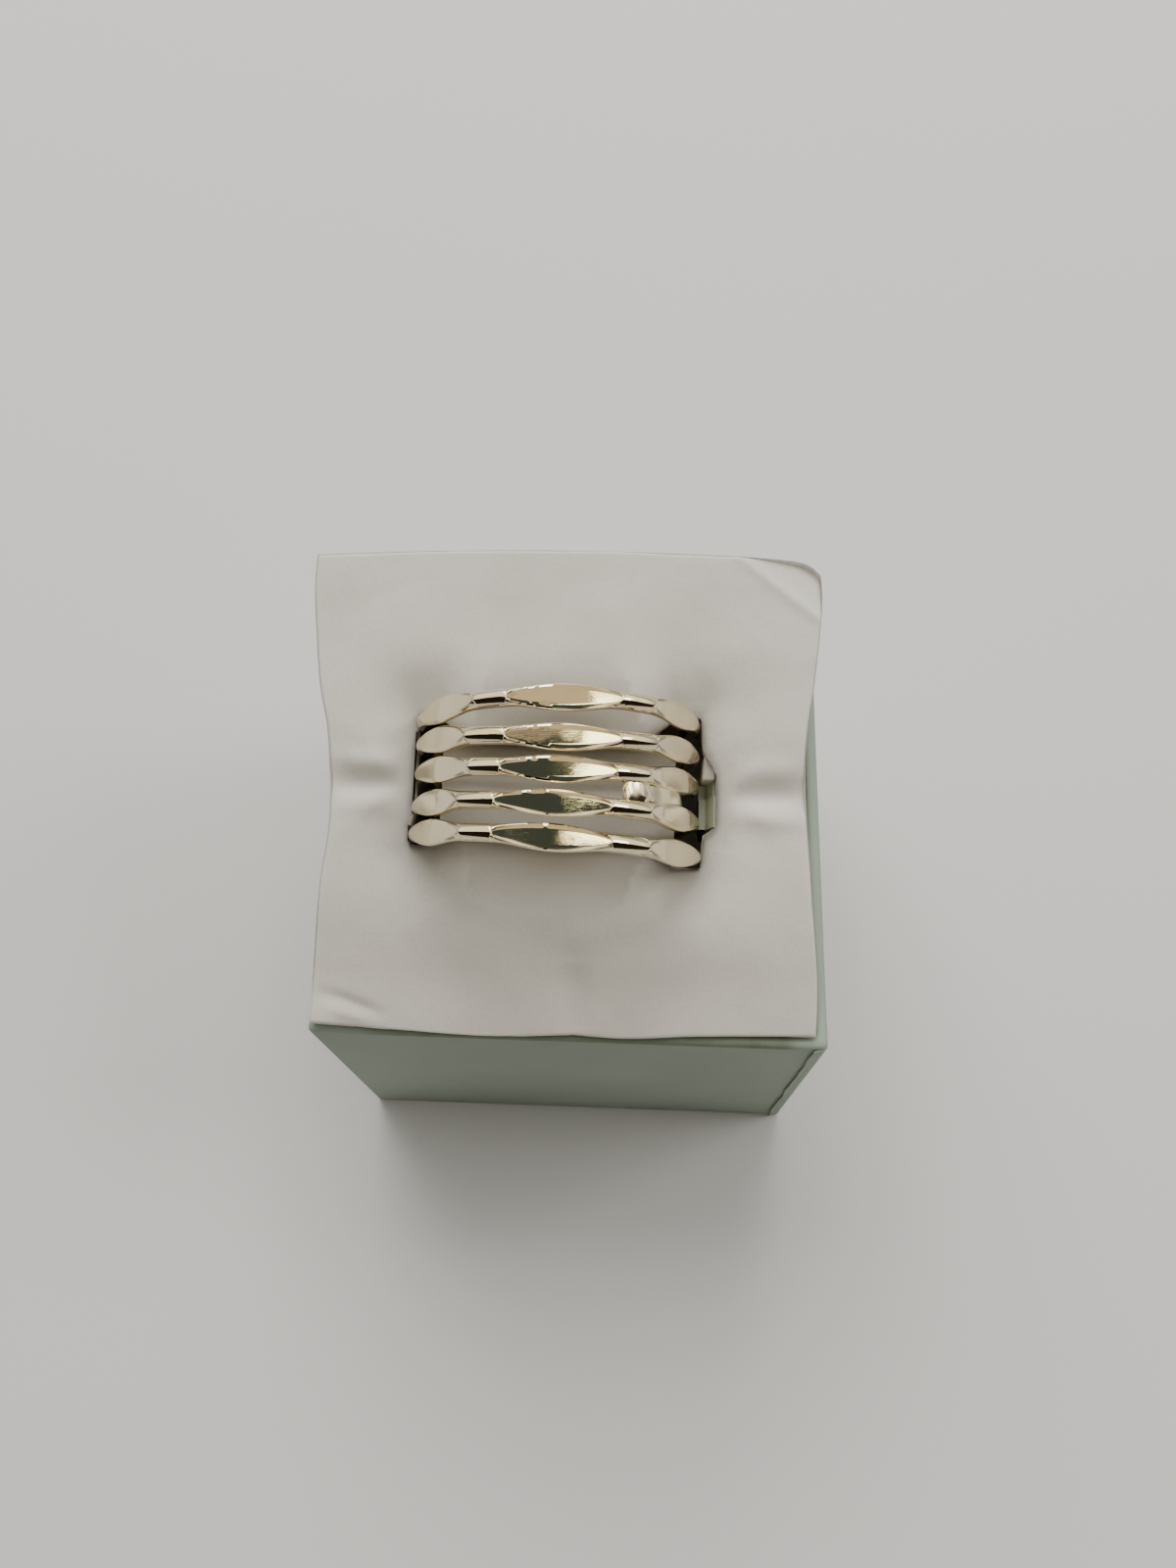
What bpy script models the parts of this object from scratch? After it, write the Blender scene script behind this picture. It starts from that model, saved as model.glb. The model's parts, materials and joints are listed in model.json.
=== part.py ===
"""Five-band hammered silver ring, standing in the slot of a soft insert in an open card ring box.

The frame is in metres with +Z up and its origin at the centre of the box's underside. The box's
front is on the -Y side. The insert slopes up towards the back, and the ring stands square to it.
"""

import math
from collections import namedtuple

import bmesh
import bpy
from mathutils import Vector

MM = 0.001

# The gap that every piece keeps to its neighbours
GAP = 0.3 * MM

# Card tray
TRAY_SIDE = 38.1 * MM
TRAY_HEIGHT = 30.0 * MM
CARD = 0.9 * MM
CARD_EDGE = 0.2 * MM
CARD_EDGE_SEGMENTS = 2

# Slope that the insert and the ring share, and where the slope's frame stands over the box
SLOPE = math.radians(16.5)
SLOT_LINE_Y = -1.04 * MM
SLOT_LINE_ABOVE_RIM = 5.4 * MM

# Soft insert, in the slope's frame: x to the right, y up the slope, z out of the insert's face
PAD_FRONT = -18.0 * MM
PAD_BACK = 17.4 * MM
PAD_BACK_BULGE = 0.7 * MM
PAD_LEFT = 18.8 * MM
PAD_RIGHT = 18.3 * MM
PAD_LEFT_FLARE = 1.65 * MM
PAD_WAIST = 0.9 * MM
PAD_WAIST_REACH = 6.0 * MM
PAD_LEFT_WAIST_SHARE = 0.3
PAD_THICKNESS = 14.0 * MM
PAD_EDGE_ROUND = 1.6 * MM
CREASE_DEPTH = 0.9 * MM
CREASE_REACH = 2.6 * MM
LIP_DROP = 1.4 * MM
LIP_REACH = 3.2 * MM
PAD_COLUMNS = 28
PAD_ROWS = 28

# Slot in the insert, in millimetres in the slope's frame, anticlockwise. Its lips come together a
# little under the ring's arch. Below them it is wide enough for the ring's lower half, and it ends
# under the ring, apart from a narrow cut through the rest at its right end
SLOT_LIPS = (
    (-12.50, -5.10), (-10.30, -5.25), (-8.20, -4.00), (5.40, -4.30), (7.40, -6.30), (9.75, -6.40),
    (10.10, -5.20), (10.65, -3.60), (10.65, 1.20), (9.85, 4.20), (9.65, 5.90), (7.40, 5.80),
    (5.40, 3.70), (-8.20, 3.50), (-10.30, 5.15), (-12.40, 5.30), (-12.65, 4.40), (-12.70, -4.40),
)
SLOT_WIDE = (
    (-12.40, -5.50), (10.25, -6.50), (10.75, -2.80), (10.75, 2.80), (10.25, 6.10), (-12.40, 5.60),
    (-12.90, 4.20), (-12.90, -4.20),
)
SLOT_END_CUT = ((9.90, -3.00), (10.65, -3.00), (10.65, 1.00), (9.90, 1.00))
LIPS_DOWN_TO = -4.0 * MM
SLOT_DOWN_TO = -12.45 * MM
SLOT_CUT_MARGIN = 3.0 * MM

# Foam that closes again inside the ring: a half disc across the slot, and the gap that it keeps to
# the wire
CORE_TOP = -2.4 * MM
CORE_REACH = 7.2 * MM
CORE_GAP = 0.53 * MM
CORE_SIDES = 20

# Hammered wire
WIRE = 0.64 * MM
RING_RADIUS = 10.07 * MM
RING_SHIFT_X = -1.37 * MM
RING_SINK = 1.14 * MM
STATIONS = 72
WIRE_SIDES = 12
FACETS = 6
FACET_HALF_ANGLE = math.radians(22.0)
FACET_LEVEL = 0.10 * MM
FACET_CROWN_RADIUS = 31.0 * MM
FACET_WINDOW = math.cos(1.3 * FACET_HALF_ANGLE)
HAMMER_SPREAD = 0.54
HAMMER_SQUASH = 0.28
SHARP_ANGLE = math.radians(32.0)

# Where each band runs: millimetres in front of the ring's middle plane at four places round the
# ring, millimetres that its radius is larger, and degrees that its first facet is turned from the top
Band = namedtuple("Band", "left top right bottom swell turn")
BANDS = (
    Band(left=-4.30, top=-4.86, right=-4.74, bottom=-4.24, swell=0.00, turn=5.5),
    Band(left=-2.50, top=-2.12, right=-2.40, bottom=-2.12, swell=0.00, turn=5.2),
    Band(left=-0.35, top=0.09, right=-0.11, bottom=0.00, swell=0.00, turn=3.8),
    Band(left=2.05, top=2.40, right=2.64, bottom=2.12, swell=0.10, turn=3.2),
    Band(left=4.10, top=4.75, right=5.15, bottom=4.24, swell=0.25, turn=2.0),
)

# Solder: the bands it joins, degrees round the ring from the top, and its half length, half
# thickness across the wire and sink below the wires' middle, in millimetres
Solder = namedtuple("Solder", "behind angle length height sink")
SOLDER_JOINTS = (
    Solder(behind=2, angle=35.0, length=1.30, height=0.42, sink=0.02),
    Solder(behind=2, angle=52.0, length=2.60, height=0.34, sink=0.22),
    Solder(behind=0, angle=183.0, length=1.60, height=0.36, sink=0.12),
    Solder(behind=1, angle=186.0, length=1.60, height=0.36, sink=0.12),
    Solder(behind=2, angle=184.0, length=1.60, height=0.36, sink=0.12),
    Solder(behind=3, angle=187.0, length=1.60, height=0.36, sink=0.12),
)
SOLDER_BITE = 0.42 * MM
SOLDER_SEGMENTS = 10
SOLDER_RINGS = 6

# Plain finishes: colour, roughness and metallic
Finish = namedtuple("Finish", "name color roughness metallic")
CARD_FINISH = Finish("pale green card", (0.30, 0.34, 0.28), 0.60, 0.0)
FLOCK_FINISH = Finish("white flock", (0.62, 0.60, 0.57), 0.95, 0.0)
SILVER_FINISH = Finish("hammered silver", (0.86, 0.82, 0.74), 0.18, 1.0)


def clear_scene():
    """Removes whatever the file opened with."""
    for obj in list(bpy.data.objects):
        bpy.data.objects.remove(obj, do_unlink=True)


def make_collection(name):
    """Returns a new collection in the scene."""
    collection = bpy.data.collections.new(name)
    bpy.context.scene.collection.children.link(collection)
    return collection


def make_material(finish):
    """Returns a plain Principled material with the finish."""
    material = bpy.data.materials.new(finish.name)
    material.use_nodes = True
    shader = material.node_tree.nodes["Principled BSDF"]
    shader.inputs["Base Color"].default_value = (*finish.color, 1.0)
    shader.inputs["Roughness"].default_value = finish.roughness
    shader.inputs["Metallic"].default_value = finish.metallic
    return material


def new_object(name, bm, collection):
    """Turns a bmesh into an object in the collection."""
    bmesh.ops.recalc_face_normals(bm, faces=bm.faces)
    mesh = bpy.data.meshes.new(name)
    bm.to_mesh(mesh)
    bm.free()
    obj = bpy.data.objects.new(name, mesh)
    collection.objects.link(obj)
    return obj


def as_guide(obj):
    """Marks an object as a cutter, which is drawn as wire and not rendered."""
    obj.hide_render = True
    obj.display_type = "WIRE"
    return obj


def boolean(target, operand, operation):
    """Adds an exact Boolean with one object, or with all the objects of a collection."""
    modifier = target.modifiers.new(operation.title(), "BOOLEAN")
    modifier.operation = operation
    modifier.solver = "EXACT"
    if isinstance(operand, bpy.types.Collection):
        modifier.operand_type = "COLLECTION"
        modifier.collection = operand
    else:
        modifier.object = operand


def open_box(name, side, height, wall, collection):
    """A square box without a lid, with walls and a floor of one thickness inside its outer size."""
    bm = bmesh.new()
    bmesh.ops.create_cube(bm, size=1.0)
    bmesh.ops.scale(bm, vec=(side, side, height), verts=bm.verts)
    bmesh.ops.translate(bm, vec=(0.0, 0.0, height / 2), verts=bm.verts)
    lid = [face for face in bm.faces if face.normal.z > 0.5]
    bmesh.ops.delete(bm, geom=lid, context="FACES_ONLY")
    obj = new_object(name, bm, collection)
    solidify = obj.modifiers.new("Card", "SOLIDIFY")
    solidify.thickness = wall
    solidify.offset = -1.0
    solidify.use_even_offset = True
    return obj


def build_tray(collection, material):
    """The card box: four walls and a floor, with slightly rounded edges where the card folds."""
    tray = open_box("box_tray", TRAY_SIDE, TRAY_HEIGHT, CARD, collection)
    bevel = tray.modifiers.new("Folded edges", "BEVEL")
    bevel.width = CARD_EDGE
    bevel.segments = CARD_EDGE_SEGMENTS
    bevel.limit_method = "ANGLE"
    tray.data.materials.append(material)
    return tray


def smooth_fall(distance, reach):
    """A bell that is 1 at distance 0 and fades over the reach."""
    return math.exp(-((distance / reach) ** 2))


def distance_from_slot(x, y):
    """How far a place on the insert's face lies outside the slot's bounding lines."""
    left, right = (pick(corner[0] for corner in SLOT_LIPS) * MM for pick in (min, max))
    front, back = (pick(corner[1] for corner in SLOT_LIPS) * MM for pick in (min, max))
    beyond_x = max(left - x, x - right, 0.0)
    beyond_y = max(front - y, y - back, 0.0)
    return math.hypot(beyond_x, beyond_y)


def pad_sides(y):
    """The insert's left and right edge at a place up the slope."""
    waist = PAD_WAIST * smooth_fall(y, PAD_WAIST_REACH)
    flare = PAD_LEFT_FLARE * max(y / PAD_BACK, 0.0) ** 2
    left = -PAD_LEFT - flare + PAD_LEFT_WAIST_SHARE * waist
    right = PAD_RIGHT - waist
    return left, right


def pad_height(x, y, left, right, back):
    """The insert's face: flat, with a crease along the slot line, sunk lips and rounded edges."""
    crease = CREASE_DEPTH * smooth_fall(y, CREASE_REACH)
    lips = LIP_DROP * smooth_fall(distance_from_slot(x, y), LIP_REACH)
    edge = min(x - left, right - x, y - PAD_FRONT, back - y)
    rounding = 0.0
    if edge < PAD_EDGE_ROUND:
        inset = PAD_EDGE_ROUND - max(edge, 0.0)
        rounding = PAD_EDGE_ROUND - math.sqrt(max(PAD_EDGE_ROUND**2 - inset**2, 0.0))
    return -max(crease, lips) - rounding


def upright_prism(name, corners, low, high, frame, guides):
    """A cutter with a polygon in millimetres for its outline, square to the slope."""
    bm = bmesh.new()
    face = bm.faces.new([bm.verts.new((x * MM, y * MM, low)) for x, y in corners])
    extruded = bmesh.ops.extrude_face_region(bm, geom=[face])
    raised = [item for item in extruded["geom"] if isinstance(item, bmesh.types.BMVert)]
    bmesh.ops.translate(bm, vec=(0.0, 0.0, high - low), verts=raised)
    cutter = as_guide(new_object(name, bm, guides))
    cutter.parent = frame
    return cutter


def foam_core(frame, guides):
    """The foam inside the ring: a half disc that joins the slot's two sides, clear of the wire."""
    reach = RING_RADIUS - WIRE - CORE_GAP
    start = math.asin((RING_SINK + CORE_TOP) / -reach)
    bm = bmesh.new()
    outline = []
    for step in range(CORE_SIDES + 1):
        angle = start + (math.pi - 2 * start) * step / CORE_SIDES
        x = RING_SHIFT_X + reach * math.cos(angle)
        z = -RING_SINK - reach * math.sin(angle)
        outline.append(bm.verts.new((x, -CORE_REACH, z)))
    extruded = bmesh.ops.extrude_face_region(bm, geom=[bm.faces.new(outline)])
    moved = [item for item in extruded["geom"] if isinstance(item, bmesh.types.BMVert)]
    bmesh.ops.translate(bm, vec=(0.0, 2 * CORE_REACH, 0.0), verts=moved)
    core = as_guide(new_object("foam_core", bm, guides))
    core.parent = frame
    return core


def build_pad(frame, collection, guides, material):
    """The soft insert: a sloping block with a creased, pillowy face, and the slot cut into it."""
    bm = bmesh.new()
    bmesh.ops.create_grid(bm, x_segments=PAD_COLUMNS, y_segments=PAD_ROWS, size=1.0)
    for vert in bm.verts:
        across = (vert.co.x + 1.0) / 2
        up = (vert.co.y + 1.0) / 2
        back = PAD_BACK + PAD_BACK_BULGE * math.sin(math.pi * across)
        y = PAD_FRONT + up * (back - PAD_FRONT)
        left, right = pad_sides(y)
        x = left + across * (right - left)
        vert.co = Vector((x, y, pad_height(x, y, left, right, back)))
    top = list(bm.faces)
    extruded = bmesh.ops.extrude_face_region(bm, geom=top)
    for item in extruded["geom"]:
        if isinstance(item, bmesh.types.BMVert):
            item.co.z = -PAD_THICKNESS
    pad = new_object("insert_pad", bm, collection)
    pad.parent = frame

    below = -PAD_THICKNESS - SLOT_CUT_MARGIN
    above = SLOT_CUT_MARGIN
    for name, corners, low, high in (
        ("slot_lips", SLOT_LIPS, LIPS_DOWN_TO - GAP, above),
        ("slot_wide", SLOT_WIDE, SLOT_DOWN_TO, LIPS_DOWN_TO),
        ("slot_end_cut", SLOT_END_CUT, below, SLOT_DOWN_TO + GAP),
    ):
        cutter = upright_prism(name, corners, low, high, frame, guides)
        boolean(pad, cutter, "DIFFERENCE")
    boolean(pad, foam_core(frame, guides), "UNION")

    reach = 2 * (PAD_LEFT + PAD_LEFT_FLARE + CARD)
    inner = TRAY_SIDE / 2 - CARD - GAP
    walls = open_box("wall_clearance", reach, TRAY_HEIGHT + GAP, reach / 2 - inner, guides)
    boolean(pad, as_guide(walls), "DIFFERENCE")
    pad.data.materials.append(material)
    return pad


def band_offset(band, angle):
    """How far in front of the ring's middle plane a band runs, from its four named places."""
    mean = (band.left + band.top + band.right + band.bottom) / 4
    turn = (band.top + band.bottom - band.left - band.right) / 4
    offset = mean + turn * math.cos(2 * angle)
    offset += (band.top - band.bottom) / 2 * math.cos(angle)
    offset += (band.right - band.left) / 2 * math.sin(angle)
    return offset * MM


def facet_angles(band):
    """The angles round the ring, from the top, of a band's facets."""
    return [math.radians(band.turn) + 2 * math.pi * index / FACETS for index in range(FACETS)]


def hammering(band, angle):
    """How strongly the wire is hammered at an angle: 1 in a facet's middle, 0 between facets."""
    strength = 0.0
    for middle in facet_angles(band):
        away = abs(math.remainder(angle - middle, 2 * math.pi)) / FACET_HALF_ANGLE
        if away < 1.0:
            strength = (1.0 - away**2) ** 2
    return strength


def spread_wire(bm, band, radius):
    """Flattens and widens the wire at its facets, and bends the band to its own course."""
    for vert in bm.verts:
        angle = math.atan2(vert.co.x, vert.co.y)
        outward = Vector((vert.co.x, vert.co.y, 0.0)).normalized()
        rise = vert.co.dot(outward) - radius
        strength = hammering(band, angle)
        rise = (rise + WIRE) * (1.0 - HAMMER_SQUASH * strength) - WIRE
        across = vert.co.z * (1.0 + HAMMER_SPREAD * strength)
        vert.co = outward * (radius + rise)
        vert.co.z = across + band_offset(band, angle)


def hammer_facet(bm, middle, radius):
    """Cuts one long, slightly crowned facet with crisp edges into the wire's outer side."""
    normal = Vector((math.sin(middle), math.cos(middle), 0.0))
    along = Vector((math.cos(middle), -math.sin(middle), 0.0))
    level = radius + FACET_LEVEL
    window = FACET_WINDOW * radius

    def crown(vert):
        return vert.co.dot(along) ** 2 / (2 * FACET_CROWN_RADIUS)

    near = [vert for vert in bm.verts if vert.co.dot(normal) > window]
    for vert in near:
        vert.co += normal * crown(vert)
    cut = set(near)
    faces = [face for face in bm.faces if cut.issuperset(face.verts)]
    edges = {edge for face in faces for edge in face.edges}
    bmesh.ops.bisect_plane(
        bm, geom=near + list(edges) + faces, dist=1e-7, plane_co=normal * level, plane_no=normal
    )
    for vert in bm.verts:
        if vert.co.dot(normal) > window:
            over = vert.co.dot(normal) - level
            if over > 0.0:
                vert.co -= normal * over
            vert.co -= normal * crown(vert)


def build_band(index, band, guides):
    """One hammered wire band, closed into a ring about its own Z axis, with its top on +Y."""
    radius = RING_RADIUS + band.swell * MM
    bpy.ops.mesh.primitive_torus_add(
        major_radius=radius, minor_radius=WIRE, major_segments=STATIONS, minor_segments=WIRE_SIDES
    )
    obj = bpy.context.object
    obj.name = f"band_{index + 1}"
    for collection in list(obj.users_collection):
        collection.objects.unlink(obj)
    guides.objects.link(obj)
    bm = bmesh.new()
    bm.from_mesh(obj.data)
    spread_wire(bm, band, radius)
    for middle in facet_angles(band):
        hammer_facet(bm, middle, radius)
    bmesh.ops.triangulate(bm, faces=bm.faces)
    bm.to_mesh(obj.data)
    bm.free()
    return obj


def build_solder(index, joint, guides):
    """A drop of solder drawn out along the groove between two neighbouring bands."""
    angle = math.radians(joint.angle)
    back, front = BANDS[joint.behind], BANDS[joint.behind + 1]
    middle = (band_offset(back, angle) + band_offset(front, angle)) / 2
    gap = abs(band_offset(front, angle) - band_offset(back, angle))
    half_width = gap / 2 - WIRE + SOLDER_BITE
    radius = RING_RADIUS + (back.swell + front.swell) / 2 * MM - joint.sink * MM
    bm = bmesh.new()
    bmesh.ops.create_uvsphere(
        bm, u_segments=SOLDER_SEGMENTS, v_segments=SOLDER_RINGS, radius=1.0
    )
    size = Vector((joint.length * MM, joint.height * MM, half_width))
    bmesh.ops.scale(bm, vec=size, verts=bm.verts)
    for vert in bm.verts:
        bend = angle + vert.co.x / radius
        reach = radius + vert.co.y
        vert.co = Vector((reach * math.sin(bend), reach * math.cos(bend), middle + vert.co.z))
    return new_object(f"solder_{index + 1}", bm, guides)


def build_ring(frame, collection, guides, material):
    """The ring: five bands and their solder fused into one solid, standing square to the slope."""
    fused = make_collection("ring bands to fuse")
    bands = [build_band(index, band, fused) for index, band in enumerate(BANDS)]
    drops = [build_solder(index, joint, fused) for index, joint in enumerate(SOLDER_JOINTS)]
    for obj in bands + drops:
        as_guide(obj)
        obj.parent = frame
        obj.location = (RING_SHIFT_X, 0.0, -RING_SINK)
        obj.rotation_euler = (math.pi / 2, 0.0, 0.0)

    ring = bands[0]
    fused.objects.unlink(ring)
    collection.objects.link(ring)
    ring.name = "ring_bands"
    ring.hide_render = False
    ring.display_type = "TEXTURED"
    boolean(ring, fused, "UNION")
    ring.data.materials.append(material)
    ring.data.shade_smooth()
    ring.data.set_sharp_from_angle(angle=SHARP_ANGLE)
    return ring


def main():
    """Builds the box, the insert and the ring."""
    clear_scene()
    parts = make_collection("band ring in ring box")
    guides = make_collection("cutters")
    frame = bpy.data.objects.new("slope", None)
    frame.location = (0.0, SLOT_LINE_Y, TRAY_HEIGHT + SLOT_LINE_ABOVE_RIM)
    frame.rotation_euler = (SLOPE, 0.0, 0.0)
    parts.objects.link(frame)

    build_tray(parts, make_material(CARD_FINISH))
    build_pad(frame, parts, guides, make_material(FLOCK_FINISH))
    build_ring(frame, parts, guides, make_material(SILVER_FINISH))


main()
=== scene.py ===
"""A ring of five hammered silver bands, standing in the soft insert of an open card ring box.

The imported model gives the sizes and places. This script makes the surfaces that show: the
hammered wires with their flat facets and solder, the flocked insert with its slot, and the
paper-covered card. Lengths are in metres. +Z is up, the box's front is on -Y, and the floor is at
zero.
"""

import json
import logging
import math
from dataclasses import dataclass
from enum import Enum
from typing import Callable, Iterable, Sequence

import bmesh
import bpy
from mathutils import Matrix, Vector, noise

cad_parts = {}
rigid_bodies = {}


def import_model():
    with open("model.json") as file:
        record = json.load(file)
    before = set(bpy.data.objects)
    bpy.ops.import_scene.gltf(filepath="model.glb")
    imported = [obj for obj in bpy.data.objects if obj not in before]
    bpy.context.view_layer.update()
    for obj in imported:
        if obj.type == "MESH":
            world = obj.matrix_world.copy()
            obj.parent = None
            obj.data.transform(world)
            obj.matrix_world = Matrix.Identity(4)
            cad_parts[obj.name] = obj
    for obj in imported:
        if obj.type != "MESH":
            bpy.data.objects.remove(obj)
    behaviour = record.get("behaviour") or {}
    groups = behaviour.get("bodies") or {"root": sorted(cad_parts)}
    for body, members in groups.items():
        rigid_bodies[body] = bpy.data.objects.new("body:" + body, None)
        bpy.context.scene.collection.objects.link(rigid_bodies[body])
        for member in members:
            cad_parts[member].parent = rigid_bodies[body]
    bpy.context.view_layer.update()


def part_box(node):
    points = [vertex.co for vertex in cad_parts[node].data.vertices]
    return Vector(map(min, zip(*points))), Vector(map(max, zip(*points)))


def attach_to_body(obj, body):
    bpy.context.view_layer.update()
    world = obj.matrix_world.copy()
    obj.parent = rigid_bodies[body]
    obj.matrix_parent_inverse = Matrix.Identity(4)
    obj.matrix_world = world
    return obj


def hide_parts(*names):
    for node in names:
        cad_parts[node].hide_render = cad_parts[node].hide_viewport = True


LOG = logging.getLogger("ring_box")
MM = 0.001
BODY = "root"
# The painted shade along the facets' edges, kept on the bands' vertices.
WIRE_UV = "wire"
PAINTED_EDGE_SHADE = "crease"
# The painted shade on the insert, kept on its vertices.
PAINTED_SHADE = "shade_layer"
WIRE_RADIUS = 0.64 * MM
RING_RADIUS = 10.07 * MM
RING_SHIFT = -1.37 * MM
RING_SINK = 1.14 * MM
CARD_THICKNESS = 0.9 * MM

Knots = tuple[tuple[float, float], ...]


class Slot(Enum):
    """The record's material slots."""

    SILVER = "silver"
    INSERT = "insert"
    CARD = "card"


@dataclass(frozen=True)
class Slope:
    """The sloping frame that the insert lies in and the ring stands square to.

    Its x runs to the right, its y up the slope, and its z out of the insert's face.
    """

    tilt: float = math.radians(16.5)
    line_y: float = -1.04 * MM
    above_rim: float = 5.4 * MM

    def matrix(self, rim: float) -> Matrix:
        """Gives the slope's place in the model.

        Args:
            rim: Height of the box's rim over the floor.

        Returns:
            The matrix that takes a point on the slope into the model's frame.
        """
        origin = Vector((0.0, self.line_y, rim + self.above_rim))
        return Matrix.Translation(origin) @ Matrix.Rotation(self.tilt, 4, "X")


class Sock:
    """An output socket of a shader, whose sums and products add Math nodes."""

    def __init__(self, shader: "Graph", socket: bpy.types.NodeSocket) -> None:
        """Holds the socket and the shader that it belongs to."""
        self.shader = shader
        self.socket = socket

    def __add__(self, other: "Sock | float") -> "Sock":
        """Adds."""
        return self.shader.math("ADD", self, other)

    def __sub__(self, other: "Sock | float") -> "Sock":
        """Subtracts."""
        return self.shader.math("SUBTRACT", self, other)

    def __rsub__(self, other: float) -> "Sock":
        """Subtracts from a number."""
        return self.shader.math("SUBTRACT", other, self)

    def __mul__(self, other: "Sock | float") -> "Sock":
        """Multiplies."""
        return self.shader.math("MULTIPLY", self, other)

    __radd__ = __add__
    __rmul__ = __mul__

    def above(self, low: float, high: float) -> "Sock":
        """Turns the range from low to high into 0 to 1, smoothly, and clamps it."""
        settings = {"interpolation_type": "SMOOTHSTEP"}
        values = {"Value": self, "From Min": low, "From Max": high}
        return self.shader.node("ShaderNodeMapRange", settings, values, "Result")


class Graph:
    """Adds nodes to a node tree, from plain expressions."""

    def __init__(self, tree: bpy.types.NodeTree) -> None:
        """Holds the tree.

        Args:
            tree: The tree that the nodes go in.
        """
        self.tree = tree

    def node(self, kind: str, settings: dict, values: dict, output: "str | int" = 0) -> Sock:
        """Adds a node.

        Args:
            kind: The node's type.
            settings: Its settings, which are set first.
            values: A value or a link for each named or numbered input.
            output: The name or number of the output that is wanted.

        Returns:
            The output socket.
        """
        made = self.tree.nodes.new(kind)
        for key, value in settings.items():
            setattr(made, key, value)
        for key, value in values.items():
            if isinstance(value, Sock):
                self.tree.links.new(value.socket, made.inputs[key])
            else:
                made.inputs[key].default_value = value
        return Sock(self, made.outputs[output])

    def math(self, operation: str, first: "Sock | float", second: "Sock | float") -> Sock:
        """Adds a Math node of two values."""
        return self.node("ShaderNodeMath", {"operation": operation}, {0: first, 1: second})

    def blend(
        self, factor: Sock, low: "Sock | Sequence[float]", high: "Sock | Sequence[float]"
    ) -> Sock:
        """Mixes two colours by a factor."""
        first = low if isinstance(low, Sock) else (*low, 1.0)
        second = high if isinstance(high, Sock) else (*high, 1.0)
        factor_in, low_in, high_in, colour_out = 0, 6, 7, 2
        values = {factor_in: factor, low_in: first, high_in: second}
        return self.node("ShaderNodeMix", {"data_type": "RGBA"}, values, colour_out)

    def axes(self, vector: Sock) -> tuple[Sock, Sock, Sock]:
        """Takes a vector apart into x, y and z."""
        x, y, z = (
            self.node("ShaderNodeSeparateXYZ", {}, {"Vector": vector}, axis) for axis in "XYZ"
        )
        return x, y, z


class Shader(Graph):
    """Builds one Principled material out of nodes."""

    def __init__(self, name: str) -> None:
        """Starts an empty material.

        Args:
            name: The material's name.
        """
        self.material = bpy.data.materials.new(name)
        self.material.use_nodes = True
        super().__init__(self.material.node_tree)
        self.principled = self.tree.nodes["Principled BSDF"]

    def place(self) -> Sock:
        """The place on the object."""
        return self.node("ShaderNodeTexCoord", {}, {}, "Object")

    def uv(self, name: str, stretch: Sequence[float]) -> Sock:
        """The piece's own UV map, stretched."""
        flat = self.node("ShaderNodeUVMap", {"uv_map": name}, {})
        return self.node("ShaderNodeMapping", {}, {"Vector": flat, "Scale": stretch})

    def painted(self, name: str) -> Sock:
        """A value that is painted on the mesh's vertices."""
        return self.node("ShaderNodeAttribute", {"attribute_name": name}, {}, "Fac")

    def grain(self, where: Sock, scale: float, detail: float = 2.0, rough: float = 0.5) -> Sock:
        """Noise from 0 to 1 at a scale."""
        values = {"Vector": where, "Scale": scale, "Detail": detail, "Roughness": rough}
        return self.node("ShaderNodeTexNoise", {}, values, "Fac")

    def bump(
        self, height: Sock, strength: float, distance: float, under: "Sock | None" = None
    ) -> Sock:
        """Adds a Bump node over another one."""
        values = {"Height": height, "Strength": strength, "Distance": distance}
        if under is not None:
            values["Normal"] = under
        return self.node("ShaderNodeBump", {}, values)

    def finish(self, **values: "Sock | float | Sequence[float]") -> bpy.types.Material:
        """Sets the Principled shader's inputs.

        Args:
            values: A value or a link for each input, with underscores for spaces.

        Returns:
            The finished material.
        """
        for key, value in values.items():
            socket = self.principled.inputs[key.replace("_", " ")]
            if isinstance(value, Sock):
                self.tree.links.new(value.socket, socket)
            else:
                socket.default_value = value
        return self.material


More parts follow.
